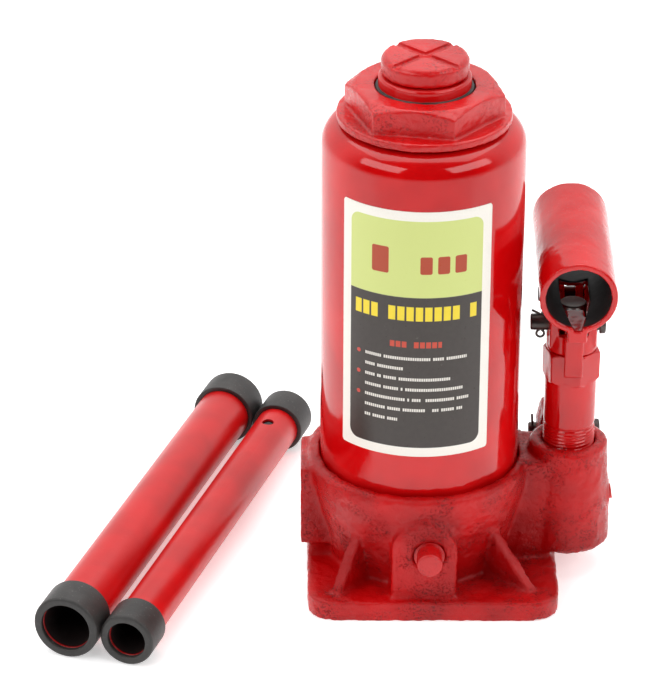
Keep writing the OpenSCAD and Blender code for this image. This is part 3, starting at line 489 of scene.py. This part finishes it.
BLACK = (0.018, 0.017, 0.016, 1)
finishes = {
    "cast_enamel": red_enamel("cast_enamel", grit=0.0006, grain=560.0, pits=0.9, gloss=0.10, rub_and_highlight=0.10,
                               dust=0.02, tones=(CAST_RED, CAST_DEEP_RED), shine=0.30),
    "enamel": red_enamel("enamel", peel=0.00005, gloss=0.06, rub_and_highlight=0.12, dust=0.03),
    "forged_enamel": red_enamel("forged_enamel", grit=0.0003, grain=480.0, pits=0.6, gloss=0.11, rub_and_highlight=0.25,
                                dust=0.05),
    "enamel_dark": red_enamel("enamel_dark", grit=0.0001, grain=900.0, pits=0.3, gloss=0.2, rub_and_highlight=0.3,
                              dust=0.2),
    "ground_steel": bare_metal("ground_steel", (0.62, 0.61, 0.59, 1), (0.50, 0.49, 0.48, 1), 0.16),
    "dark_steel": bare_metal("dark_steel", (0.10, 0.085, 0.08, 1), (0.045, 0.038, 0.036, 1), 0.34, 1800.0,
                             0.01, 0.5, (0.09, 0.035, 0.02, 1)),
    "rubber": soft_plastic("rubber", BLACK, (0.03, 0.029, 0.028, 1), 0.42),
    # painted shade: the pump plunger's steel is made dark because it sits in shade in the handle socket
    "oiled_steel": bare_metal("oiled_steel", (0.20, 0.18, 0.17, 1), (0.10, 0.08, 0.075, 1), 0.34, stain=0.5,
                              stain_colour=(0.05, 0.02, 0.015, 1)),
    "brass": bare_metal("brass", (0.72, 0.52, 0.22, 1), (0.55, 0.37, 0.14, 1), 0.22),
    "cap_plastic": soft_plastic("cap_plastic", (0.020, 0.018, 0.017, 1), (0.032, 0.029, 0.027, 1), 0.42,
                                900.0, 0.00003, 0.5),
}


# ---------- mesh making ----------

def as_object(name, mesh):
    made = bpy.data.objects.new(name, mesh)
    scene.collection.objects.link(made)
    return made


def finish_piece(piece, body, finish, slot, *stands_for):
    piece.data.materials.clear()
    piece.data.materials.append(finish)
    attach(piece, body)
    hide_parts(*stands_for)
    return piece


def apply_modifiers(piece):
    bpy.context.view_layer.update()
    graph = bpy.context.evaluated_depsgraph_get()
    mesh = bpy.data.meshes.new_from_object(piece.evaluated_get(graph))
    piece.modifiers.clear()
    old = piece.data
    piece.data = mesh
    if isinstance(old, bpy.types.Mesh):
        bpy.data.meshes.remove(old)
    return piece


def bake_to_mesh(name, source):
    """Turns an object with live modifiers into a plain mesh object, and removes the source."""
    bpy.context.view_layer.update()
    graph = bpy.context.evaluated_depsgraph_get()
    mesh = bpy.data.meshes.new_from_object(source.evaluated_get(graph))
    bpy.data.objects.remove(source)
    mesh.name = name
    return as_object(name, mesh)


def shade(piece, angle=35):
    mesh = piece.data
    mesh.shade_smooth()
    mesh.set_sharp_from_angle(angle=math.radians(angle))
    return piece


def cad_copy(name, *nodes):
    """A merged copy of CAD nodes as a new object."""
    shape = bmesh.new()
    for n in nodes:
        shape.from_mesh(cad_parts[n].data)
    bmesh.ops.remove_doubles(shape, verts=shape.verts, dist=2e-6)
    mesh = bpy.data.meshes.new(name)
    shape.to_mesh(mesh)
    shape.free()
    return as_object(name, mesh)


def vertex_array(mesh, what="co"):
    found = np.empty(len(mesh.vertices) * 3, np.float32)
    if what == "co":
        mesh.vertices.foreach_get("co", found)
    else:
        mesh.vertex_normals.foreach_get("vector", found)
    return found.reshape(-1, 3).astype(float)


def put_vertices(mesh, places):
    mesh.vertices.foreach_set("co", places.astype(np.float32).ravel())
    mesh.update()


def noise_at(places, size, seed):
    shift = Vector((seed * 7.31, seed * 3.17, seed * 5.77))
    return np.array([noise.noise(Vector(p) / size + shift) for p in places])


def skinned(piece, voxel, rounds, lumps=()):
    """Remeshes a closed mesh at an even size, rounds its edges and adds lumps of (size, depth, seed)."""
    low, high = vertex_array(piece.data).min(0), vertex_array(piece.data).max(0)
    remesh = piece.modifiers.new("remesh", "REMESH")
    remesh.mode = "VOXEL"
    remesh.voxel_size = voxel
    remesh.adaptivity = 0
    smooth = piece.modifiers.new("round", "SMOOTH")
    smooth.factor = 0.5
    smooth.iterations = rounds
    apply_modifiers(piece)
    mesh = piece.data
    places = vertex_array(mesh)
    outwards = vertex_array(mesh, "normal")
    depth = np.zeros(len(places))
    for size, amount, seed in lumps:
        depth += amount * noise_at(places, size, seed)
    put_vertices(mesh, np.clip(places + outwards * depth[:, None], low, high))
    mesh.shade_smooth()
    return piece


def rounded(corners, steps=5):
    """Outline of (radius, height, rounding) corners as points, closed."""
    points = []
    count = len(corners)
    for i, (r, z, soft) in enumerate(corners):
        here = np.array([r, z])
        before = np.array(corners[i - 1][:2]) - here
        after = np.array(corners[(i + 1) % count][:2]) - here
        if soft <= 0:
            points.append((r, z))
            continue
        a, b = before / np.linalg.norm(before), after / np.linalg.norm(after)
        half = math.acos(max(-1, min(1, float(a @ b)))) / 2
        reach = soft / math.tan(half)
        centre = here + (a + b) / np.linalg.norm(a + b) * soft / math.sin(half)
        first, last = here + a * reach - centre, here + b * reach - centre
        turn = math.atan2(first[0] * last[1] - first[1] * last[0], first @ last)
        start = math.atan2(first[1], first[0])
        for k in range(steps + 1):
            t = start + turn * k / steps
            points.append((centre[0] + soft * math.cos(t), centre[1] + soft * math.sin(t)))
    return points


def lathe(name, corners, segments=96, place=Matrix.Identity(4)):
    """Turns a closed outline of (radius, height, rounding), in millimetres, round Z and puts it in place."""
    outline = rounded(corners)
    shape = bmesh.new()
    rings = []
    for r, z in outline:
        if r < 1e-6:
            centre = shape.verts.new((0, 0, z * MM))
            rings.append([centre] * segments)
        else:
            rings.append([shape.verts.new((r * MM * math.cos(2 * math.pi * k / segments),
                                           r * MM * math.sin(2 * math.pi * k / segments), z * MM))
                          for k in range(segments)])
    for i, ring in enumerate(rings):
        above = rings[(i + 1) % len(rings)]
        for k in range(segments):
            n = (k + 1) % segments
            around = [ring[k], ring[n], above[n], above[k]]
            corner = []
            for v in around:
                if v not in corner:
                    corner.append(v)
            if len(corner) > 2:
                shape.faces.new(corner)
    bmesh.ops.recalc_face_normals(shape, faces=shape.faces)
    bmesh.ops.transform(shape, matrix=place, verts=shape.verts)
    mesh = bpy.data.meshes.new(name)
    shape.to_mesh(mesh)
    shape.free()
    return shade(as_object(name, mesh))


def cylinder_cut(piece, start, end, radius):
    """Cuts a round hole from start to end."""
    along = Vector(end) - Vector(start)
    shape = bmesh.new()
    bmesh.ops.create_cone(shape, cap_ends=True, segments=48, radius1=radius, radius2=radius,
                          depth=along.length)
    turn = along.to_track_quat("Z", "Y").to_matrix().to_4x4()
    bmesh.ops.transform(shape, matrix=Matrix.Translation((Vector(start) + Vector(end)) / 2) @ turn,
                        verts=shape.verts)
    mesh = bpy.data.meshes.new("cutter")
    shape.to_mesh(mesh)
    shape.free()
    cutter = as_object("cutter", mesh)
    cut = piece.modifiers.new("hole", "BOOLEAN")
    cut.operation = "DIFFERENCE"
    cut.solver = "EXACT"
    cut.object = cutter
    apply_modifiers(piece)
    bpy.data.objects.remove(cutter)
    return shade(piece)


def join(name, *parts):
    shape = bmesh.new()
    for part in parts:
        shape.from_mesh(part.data)
        bpy.data.objects.remove(part)
    mesh = bpy.data.meshes.new(name)
    shape.to_mesh(mesh)
    shape.free()
    return as_object(name, mesh)


# ---------- geometry node trees ----------

def geometry_tree(name, inputs):
    tree = bpy.data.node_groups.new(name, "GeometryNodeTree")
    tree.interface.new_socket("Geometry", in_out="INPUT", socket_type="NodeSocketGeometry")
    for label, kind in inputs:
        tree.interface.new_socket(label, in_out="INPUT", socket_type="NodeSocket" + kind)
    tree.interface.new_socket("Geometry", in_out="OUTPUT", socket_type="NodeSocketGeometry")
    entry = tree.nodes.new("NodeGroupInput")
    leave = tree.nodes.new("NodeGroupOutput")
    return tree, entry.outputs, leave.inputs


def run_tree(name, tree, source, **values):
    """Runs the tree on the source object with its named inputs, and returns a plain mesh object."""
    modifier = source.modifiers.new(name, "NODES")
    modifier.node_group = tree
    for item in tree.interface.items_tree:
        key = item.name.replace(" ", "_")
        if item.in_out == "INPUT" and key in values:
            modifier[item.identifier] = values[key]
    return bake_to_mesh(name, source)


def helical_thread_tree():
    """A closed threaded rod on the Z axis: its radius follows a helix and fades out at both ends."""
    tree, get, put = geometry_tree("Helical_Thread", [
        ("Radius", "Float"), ("Depth", "Float"), ("Pitch", "Float"), ("Length", "Float"),
        ("Foot", "Float"), ("Run Out", "Float"), ("Finish", "Material")])
    rows = calc(tree, "MULTIPLY", calc(tree, "DIVIDE", get["Length"], get["Pitch"]), 9.0)
    rod = node(tree, "GeometryNodeMeshCylinder", {
        "Vertices": 96, "Side Segments": rows, "Radius": get["Radius"], "Depth": get["Length"]})
    lift = node(tree, "ShaderNodeCombineXYZ", {
        "Z": calc(tree, "ADD", get["Foot"], calc(tree, "MULTIPLY", get["Length"], 0.5))})
    stood = node(tree, "GeometryNodeTransform", {
        "Geometry": rod.outputs["Mesh"], "Translation": lift.outputs[0]})
    place = node(tree, "GeometryNodeInputPosition").outputs[0]
    split = node(tree, "ShaderNodeSeparateXYZ", {"Vector": place}).outputs
    height = calc(tree, "SUBTRACT", split["Z"], get["Foot"])
    angle = calc(tree, "DIVIDE", calc(tree, "ARCTAN2", split["Y"], split["X"]), 2 * math.pi)
    phase = calc(tree, "FRACT", calc(tree, "SUBTRACT", calc(tree, "DIVIDE", height, get["Pitch"]), angle))
    tooth = calc(tree, "SUBTRACT", 1.0, calc(tree, "ABSOLUTE", calc(tree, "MULTIPLY_ADD", phase, 2.0, -1.0)))
    crest = calc(tree, "DIVIDE", calc(tree, "SUBTRACT", tooth, 0.12), 0.72, clamp=True)
    from_top = calc(tree, "SUBTRACT", get["Length"], height)
    fade = calc(tree, "DIVIDE", calc(tree, "MINIMUM", height, from_top), get["Run Out"], clamp=True)
    kept = calc(tree, "SUBTRACT", 1.0, calc(tree, "MULTIPLY", crest, fade))
    radius = calc(tree, "SUBTRACT", get["Radius"], calc(tree, "MULTIPLY", kept, get["Depth"]))
    share = calc(tree, "DIVIDE", radius, get["Radius"])
    moved = node(tree, "ShaderNodeCombineXYZ", {
        "X": calc(tree, "MULTIPLY", split["X"], share), "Y": calc(tree, "MULTIPLY", split["Y"], share),
        "Z": split["Z"]})
    shaped = node(tree, "GeometryNodeSetPosition", {
        "Geometry": stood.outputs[0], "Position": moved.outputs[0]})
    real = node(tree, "GeometryNodeRealizeInstances", {"Geometry": shaped.outputs[0]})
    coated = node(tree, "GeometryNodeSetMaterial", {"Geometry": real.outputs[0], "Material": get["Finish"]})
    tree.links.new(coated.outputs[0], put["Geometry"])
    return tree


def bent_wire_tree():
    """Round wire that follows a path, with its bends rounded."""
    tree, get, put = geometry_tree("Bent_Wire", [
        ("Wire Radius", "Float"), ("Bend", "Float"), ("Finish", "Material")])
    bent = node(tree, "GeometryNodeFilletCurve", {"Curve": get["Geometry"], "Radius": get["Bend"],
                                                  "Limit Radius": True})
    bent.mode = "POLY"
    bent.inputs["Count"].default_value = 4
    ring = node(tree, "GeometryNodeCurvePrimitiveCircle", {"Resolution": 10, "Radius": get["Wire Radius"]})
    swept = node(tree, "GeometryNodeCurveToMesh", {
        "Curve": bent.outputs[0], "Profile Curve": ring.outputs[0], "Fill Caps": True})
    real = node(tree, "GeometryNodeRealizeInstances", {"Geometry": swept.outputs[0]})
    coated = node(tree, "GeometryNodeSetMaterial", {"Geometry": real.outputs[0], "Material": get["Finish"]})
    tree.links.new(coated.outputs[0], put["Geometry"])
    return tree


THREAD = helical_thread_tree()
WIRE = bent_wire_tree()


def threaded_rod(name, finish, **sizes):
    """Sizes in millimetres."""
    blank = as_object(name + "_blank", bpy.data.meshes.new(name + "_blank"))
    values = {key: value * MM for key, value in sizes.items()}
    return run_tree(name, THREAD, blank, Finish=finish, **values)


def wire_along(name, finish, points, radius, bend):
    path = bpy.data.curves.new(name + "_path", "CURVE")
    path.dimensions = "3D"
    spline = path.splines.new("POLY")
    spline.points.add(len(points) - 1)
    for point, place in zip(spline.points, points):
        point.co = (*place, 1)
    source = as_object(name + "_path", path)
    return run_tree(name, WIRE, source, Wire_Radius=radius, Bend=bend, Finish=finish)


# ---------- the pieces ----------

# Sizes in millimetres and degrees that the CAD part boxes don't give
LABEL_MIDDLE = -95.2
LABEL_HALF_ANGLE = 45
SCREW_R = 12.25
SCREW_PITCH = 3.0
SCREW_THREAD = 1.2
SADDLE_T = 7.4
COLLAR = 14
PUMP_RISE = 39.5
PUMP_BORE_R = 5.26
SOCKET_BORE_R = 12.4
SOCKET_LENGTH = 66.6
SOCKET_FRONT = 30
SOCKET_RISE = 26.1
SOCKET_TILT = 2.8
PLUNGER_PIN_R = 3.2
LINK_PIN_R = 3.0
PIN_HEAD_R = 4.5
PIN_HEAD_T = 2.35
YOKE_R = 9.9
CAP_LENGTH = 14.5
CAP_WALL = 1.8
TUBE_WALL = 1.5


def centre_of(node_name):
    low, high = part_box(node_name)
    return (low + high) / 2


def make_base():
    base = skinned(cad_copy("base_skin", "base_casting"), 0.85 * MM, 3,
                   [(7 * MM, 0.34 * MM, 1), (2.6 * MM, 0.26 * MM, 2), (1.5 * MM, 0.16 * MM, 3)])
    finish_piece(base, "base", finishes["cast_enamel"], "cast_enamel", "base_casting")


def make_shell():
    low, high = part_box("reservoir_shell")
    z0, z1, r = low.z / MM, high.z / MM, high.x / MM
    wall, soft = 2.6, 9.0
    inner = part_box("pressure_cylinder")[1].x / MM + 0.15
    shell = lathe("shell_skin", [
        (r, z0, 0.4), (r, z1, soft), (inner, z1, 0.3), (inner, z1 - wall, 0.3),
        (r - wall, z1 - wall, soft - wall), (r - wall, z0, 0.3)], 256)
    plug = centre_of("filler_plug")
    cylinder_cut(shell, (0, r * MM - 0.012, plug.z), (0, r * MM + 0.01, plug.z), 4.56 * MM)
    finish_piece(shell, "base", finishes["enamel"], "enamel", "reservoir_shell")


def make_top_nut():
    nut = skinned(cad_copy("nut_skin", "top_nut"), 0.5 * MM, 2,
                  [(6 * MM, 0.20 * MM, 4), (2 * MM, 0.14 * MM, 5)])
    finish_piece(nut, "base", finishes["forged_enamel"], "forged_enamel", "top_nut")


def make_label():
    low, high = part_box("label_plate")
    inner, outer = 38.62 * MM, 38.87 * MM
    middle, half = math.radians(LABEL_MIDDLE), math.radians(LABEL_HALF_ANGLE)
    soft = 1.0 * MM
    columns = 120
    shape = bmesh.new()
    strips = []
    for i in range(columns + 1):
        t = -1 + 2 * i / columns
        inset = max(0.0, soft - (1 - abs(t)) * half * outer)
        drop = soft - math.sqrt(max(0.0, soft ** 2 - inset ** 2))
        a = middle + half * t
        strips.append([shape.verts.new((r * math.cos(a), r * math.sin(a), z))
                       for r in (outer, inner) for z in (low.z + drop, high.z - drop)])
    for left, right in zip(strips, strips[1:]):
        shape.faces.new((left[0], right[0], right[1], left[1]))
        shape.faces.new((left[2], left[3], right[3], right[2]))
        shape.faces.new((left[1], right[1], right[3], left[3]))
        shape.faces.new((left[0], left[2], right[2], right[0]))
    for strip in (strips[0], strips[-1]):
        shape.faces.new((strip[0], strip[1], strip[3], strip[2]))
    bmesh.ops.recalc_face_normals(shape, faces=shape.faces)
    mesh = bpy.data.meshes.new("label_print")
    shape.to_mesh(mesh)
    shape.free()
    label = shade(as_object("label_print", mesh), 30)
    printed = printed_label("label", outer, LABEL_MIDDLE, low.z, high.z)
    finish_piece(label, "base", printed, "label", "label_plate")


def make_filler():
    low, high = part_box("filler_plug")
    plug = centre_of("filler_plug")
    place = Matrix.Translation((0, 0, plug.z)) @ Matrix.Rotation(math.radians(-90), 4, "X")
    y0, y1 = low.y / MM, high.y / MM
    cap = lathe("filler_cap", [
        (0, y0, 0), (4.1, y0, 0.6), (4.5, y0 + 1.6, 0.3), (4.5, y1 - 4.1, 0.3), (7, y1 - 4.1, 0.5),
        (7, y1 - 1.3, 1.0), (4, y1 - 1.3, 0.5), (4, y1, 0.8), (0, y1, 0)], 64, place)
    finish_piece(cap, "filler", finishes["rubber"], "rubber", "filler_plug")


def make_saddle():
    low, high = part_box("extension_screw")
    saddle_z = high.z / MM - SADDLE_T
    crown = cad_copy("saddle_crown", "extension_screw")
    shape = bmesh.new()
    shape.from_mesh(crown.data)
    everything = shape.verts[:] + shape.edges[:] + shape.faces[:]
    bmesh.ops.bisect_plane(shape, geom=everything, plane_co=(0, 0, (saddle_z - 1.4) * MM), plane_no=(0, 0, 1),
                           clear_inner=True)
    rim = [e for e in shape.edges if e.is_boundary]
    bmesh.ops.holes_fill(shape, edges=rim)
    shape.to_mesh(crown.data)
    shape.free()
    skinned(crown, 0.42 * MM, 3, [(5 * MM, 0.14 * MM, 6), (1.6 * MM, 0.10 * MM, 7)])
    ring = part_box("screw_stop_ring")[0].z / MM
    foot = ring + 3.2
    rod = threaded_rod("thread", finishes["dark_steel"], Radius=SCREW_R, Depth=SCREW_THREAD,
                       Pitch=SCREW_PITCH, Length=saddle_z - 0.6 - foot, Foot=foot, Run_Out=2.5)
    tail = lathe("tail", [
        (0, low.z / MM, 0), (10.4, low.z / MM, 0.4), (11.15, ring, 0.1), (11.15, foot + 1, 0.1),
        (0, foot + 1, 0)], 96)
    screw = join("saddle_and_screw", crown, rod, tail)
    shade(screw, 40)
    painted = red_enamel("saddle_enamel", grit=0.0003, grain=480.0, pits=0.6, gloss=0.13, rub_and_highlight=0.25,
                         dust=0.05, bare=(saddle_z - 1.2) * MM)
    finish_piece(screw, "saddle_screw", painted, "forged_enamel", "extension_screw")


def make_ram():
    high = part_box("ram")[1].z / MM
    z0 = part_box("ram")[0].z / MM
    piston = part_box("ram_cup_seal")[1].z / MM + 0.02
    bore, outer = 18.94, 17.5
    relief_top = high - COLLAR
    relief_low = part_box("extension_screw")[0].z / MM - 3
    ram = lathe("ram_body", [
        (3.0, z0, 0.2), (7.5, z0, 0.3), (7.5, piston, 0.2), (bore, piston, 0.4), (bore, piston + 10, 0.5),
        (outer, piston + 10, 0.3), (outer, high, 1.2), (12.31, high, 0.5), (12.31, relief_top, 0.2),
        (13.4, relief_top, 0.2), (13.4, relief_low, 0.4), (3.0, relief_low, 0.2)], 160)
    painted = red_enamel("ram_enamel", gloss=0.06, rub_and_highlight=0.3, dust=0.1, bare=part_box("top_nut")[1].z - 0.0001)
    finish_piece(ram, "ram", painted, "ground_steel", "ram")


def make_pump():
    low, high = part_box("pump_body")
    centre = (low + high) / 2
    body = cad_copy("pump_barrel", "pump_body")
    z0, z1 = low.z / MM, high.z / MM
    boss = z1 - PUMP_RISE
    rod = threaded_rod("pump_thread", finishes["enamel"], Radius=10.2, Depth=0.9, Pitch=1.5,
                       Length=boss + 7.2 - z0 - 0.8, Foot=z0 + 0.8, Run_Out=1.4)
    sleeve = lathe("pump_sleeve", [
        (6.4, z0, 0.3), (9.1, z0, 0.4), (9.25, boss + 7, 0.1), (10.0, boss + 7.8, 0.2), (10.0, z1 - 12, 0.2),
        (PUMP_BORE_R, z1 - 12, 0), (PUMP_BORE_R, z0 + 2.4, 0.1)], 96)
    shape = bmesh.new()
    shape.from_mesh(body.data)
    everything = shape.verts[:] + shape.edges[:] + shape.faces[:]
    bmesh.ops.bisect_plane(shape, geom=everything, plane_co=(0, 0, (z1 - 13.4) * MM), plane_no=(0, 0, 1),
                           clear_inner=True)
    bmesh.ops.holes_fill(shape, edges=[e for e in shape.edges if e.is_boundary])
    shape.to_mesh(body.data)
    shape.free()
    for part in (rod, sleeve):
        part.data.transform(Matrix.Translation((centre.x, centre.y, 0)))
    cut_low, cut_high = (centre.x, 0, low.z - 0.01), (centre.x, 0, high.z + 0.01)
    solid = cylinder_cut(join("pump_solid", rod), cut_low, cut_high, PUMP_BORE_R * MM)
    whole = join("pump_barrel", solid, sleeve, body)
    skinned(whole, 0.36 * MM, 2, [(5 * MM, 0.08 * MM, 8)])
    finish_piece(whole, "base", finishes["enamel"], "enamel", "pump_body")


def make_socket():
    socket = skinned(cad_copy("socket_skin", "handle_socket"), 0.5 * MM, 3,
                     [(9 * MM, 0.18 * MM, 9), (2.2 * MM, 0.05 * MM, 10)])
    tilt = math.radians(SOCKET_TILT)
    along = Vector((0, math.cos(tilt), math.sin(tilt)))
    low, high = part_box("handle_socket")
    over_pin = Vector(((low.x + high.x) / 2, 0, centre_of("plunger_pin").z + SOCKET_RISE * MM))
    middle = over_pin + along * (SOCKET_LENGTH / 2 - SOCKET_FRONT) * MM
    painted = red_enamel("socket_enamel", peel=0.00005, gloss=0.09, rub_and_highlight=0.2, dust=0.08,
                         bore=(middle, along, SOCKET_BORE_R * MM, SOCKET_LENGTH / 2 * MM))
    finish_piece(socket, "socket", painted, "enamel", "handle_socket")


def make_links():
    plates = skinned(cad_copy("link_skin", "link_plates"), 0.4 * MM, 2, [(3 * MM, 0.05 * MM, 11)])
    finish_piece(plates, "links", finishes["enamel_dark"], "enamel_dark", "link_plates")


def box_between(node_name, low_z, high_z):
    """Corners of the part of a CAD node that lies between two heights."""
    places = vertex_array(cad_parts[node_name].data)
    part = places[(places[:, 2] > low_z) & (places[:, 2] < high_z)]
    return Vector(part.min(0)), Vector(part.max(0))


def pin_along_x(name, box, shank):
    """A headed pin with rounded ends, lying along X through the middle of that box."""
    low, high = box
    middle = (low + high) / 2
    place = Matrix.Translation((0, middle.y, middle.z)) @ Matrix.Rotation(math.radians(90), 4, "Y")
    x0, x1 = low.x / MM, high.x / MM
    under = x1 - PIN_HEAD_T
    return lathe(name, [(0, x0, 0), (shank, x0, 0.7), (shank, under, 0.1), (PIN_HEAD_R, under, 0.3),
                        (PIN_HEAD_R, x1, 0.8), (0, x1, 0)], 48, place)


def split_pin(name, finish, place, grip, legs, turn=0.0):
    """A split pin with its eye below the hole and two legs above it, bent by these angles."""
    eye, wire, gap, leg = 1.5 * MM, 0.48 * MM, 0.42 * MM, 3.4 * MM
    low = -grip / 2 - 0.3 * MM - eye
    top = grip / 2 + 0.2 * MM
    left, right = (math.radians(a) for a in legs)
    points = [(leg * math.sin(left) - gap, top + leg * math.cos(left)), (-gap, top), (-gap, -grip / 2)]
    for k in range(13):
        a = math.radians(105 + 330 * k / 12)
        points.append((eye * math.cos(a), low + eye * math.sin(a)))
    points += [(gap, -grip / 2), (gap, top), (leg * math.sin(right) + gap, top + leg * math.cos(right))]
    swing = Matrix.Rotation(math.radians(turn), 3, "Z")
    path = [Vector(place) + swing @ Vector((x, 0, z)) for x, z in points]
    return shade(wire_along(name, finish, path, wire, 0.5 * MM), 60)


def make_pins():
    dark = finishes["dark_steel"]
    centre = centre_of("plunger_pin")
    pin = pin_along_x("cross_pin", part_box("plunger_pin"), PLUNGER_PIN_R)
    finish_piece(pin, "socket", dark, "dark_steel", "plunger_pin")
    beside_yoke = centre_of("pump_body").x - YOKE_R * MM - 2.4 * MM
    split = split_pin("cross_pin_split", dark, (beside_yoke, centre.y, centre.z), 2 * PLUNGER_PIN_R * MM,
                      (-62, 18))
    finish_piece(split, "socket", dark, "dark_steel", "plunger_cotter")
    low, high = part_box("link_pins")
    between = (low.z + high.z) / 2
    lower = box_between("link_pins", low.z - MM, between)
    upper = box_between("link_pins", between, high.z + MM)
    pins = join("link_pin_pair", *[pin_along_x("pin", box, LINK_PIN_R) for box in (lower, upper)])
    finish_piece(shade(pins), "links", dark, "dark_steel", "link_pins")
    splits = []
    for box in (lower, upper):
        middle = (box[0] + box[1]) / 2
        place = (box[0].x + 1.6 * MM, middle.y, middle.z)
        splits.append(split_pin("split", dark, place, 2 * LINK_PIN_R * MM, (-55, 55), 90.0))
    both = join("link_pin_splits", *splits)
    finish_piece(shade(both, 60), "links", dark, "dark_steel", "link_cotters")


def make_release():
    low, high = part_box("release_screw")
    x, z = (low.x + high.x) / 2, (low.z + high.z) / 2
    place = Matrix.Translation((x, 0, z)) @ Matrix.Rotation(math.radians(90), 4, "X")
    nose, end = -high.y / MM, -low.y / MM
    screw = lathe("release_stem", [
        (0, nose, 0), (2.5, nose, 0.2), (2.5, nose + 2.15, 0.1), (6.0, nose + 2.15, 0.8),
        (6.0, 39.0, 0.2), (4.5, 39.0, 0.2), (4.5, 41.0, 0.2), (6.0, 41.0, 0.2),
        (6.0, 44.5, 0.3), (4.9, 44.5, 0.1), (4.9, end, 0.9), (0, end, 0)], 72, place)
    finish_piece(screw, "release", finishes["forged_enamel"], "forged_enamel", "release_screw")


def axis_of(node_name):
    """Middle, direction and length of a long CAD node; the direction points towards +Y."""
    places = vertex_array(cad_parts[node_name].data)
    low, high = places.min(0), places.max(0)
    middle = (low + high) / 2
    spread_out = np.linalg.svd(places - places.mean(0), full_matrices=False)[2][0]
    direction = spread_out if spread_out[1] > 0 else -spread_out
    direction[2] = 0
    direction /= np.linalg.norm(direction)
    along = (places - middle) @ direction
    return Vector(middle), Vector(direction), float(along.max() - along.min())


def make_handles():
    for size, outer in (("large", 11.0), ("small", 8.8)):
        tube_node, caps_node = f"{size}_handle_tube", f"{size}_handle_caps"
        middle, direction, length = axis_of(tube_node)
        full = axis_of(caps_node)[2]
        turn = direction.to_track_quat("Z", "Y").to_matrix().to_4x4()
        place = Matrix.Translation(middle) @ turn
        half = length / 2 / MM
        tube = lathe(f"{size}_tube", [
            (outer - TUBE_WALL, -half, 0.3), (outer, -half, 0.3), (outer, half, 0.3),
            (outer - TUBE_WALL, half, 0.3)],
            128, place)
        if size == "small":
            hole = middle + direction * (full / 2 - 26 * MM)
            cylinder_cut(tube, hole + Vector((0, 0, 0.002)), hole + Vector((0, 0, 0.012)), 2.4 * MM)
        painted = red_enamel(f"{size}_tube_enamel", peel=0.00005, gloss=0.30, rub_and_highlight=0.15, dust=0.03,
                             bore=(middle, direction, (outer - TUBE_WALL) * MM, length / 2))
        finish_piece(tube, f"{size}_handle", painted, "enamel", tube_node)
        end = full / 2 / MM
        caps = []
        for side in (-1, 1):
            flip = Matrix.Identity(4) if side > 0 else Matrix.Rotation(math.pi, 4, "X")
            caps.append(lathe("cap", [
                (outer + CAP_WALL, end - CAP_LENGTH, 0.5), (outer + CAP_WALL, end, 1.1),
                (outer - 1.4, end, 0.5), (outer - 1.4, end - 2, 0.1), (outer, end - 2, 0.1),
                (outer, end - CAP_LENGTH, 0.2)], 96, place @ flip))
        both = shade(join(f"{size}_caps", *caps))
        finish_piece(both, f"{size}_handle", finishes["cap_plastic"], "cap_plastic", caps_node)


make_base()
make_shell()
make_top_nut()
make_label()
make_filler()
make_saddle()
make_ram()
make_pump()
make_socket()
make_links()
make_pins()
make_release()
make_handles()


# ---------- finishes of the CAD nodes that stay ----------

STAYING = {
    "ground_steel": ["pressure_cylinder", "cup_washer", "release_ball", "suction_ball",
                     "delivery_ball", "delivery_spring", "overload_ball", "overload_spring",
                     "overload_screw"],
    "rubber": ["wiper_seal", "gland_o_ring", "top_gasket", "shell_gasket", "ram_cup_seal", "pump_wiper",
               "plunger_o_ring", "release_o_ring"],
    "brass": ["cylinder_gasket", "pump_washer", "suction_strainer", "delivery_retainer"],
    "dark_steel": ["cup_screw", "screw_stop_ring"],
    "enamel_dark": ["gallery_plug"],
    # the pump plunger gets the darkened steel that paints the socket's shade on it
    "oiled_steel": ["pump_plunger"],
}
for finish_name, names in STAYING.items():
    for name in names:
        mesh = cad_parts[name].data
        if mesh.materials:
            for i in range(len(mesh.materials)):
                mesh.materials[i] = finishes[finish_name]
        else:
            mesh.materials.append(finishes[finish_name])
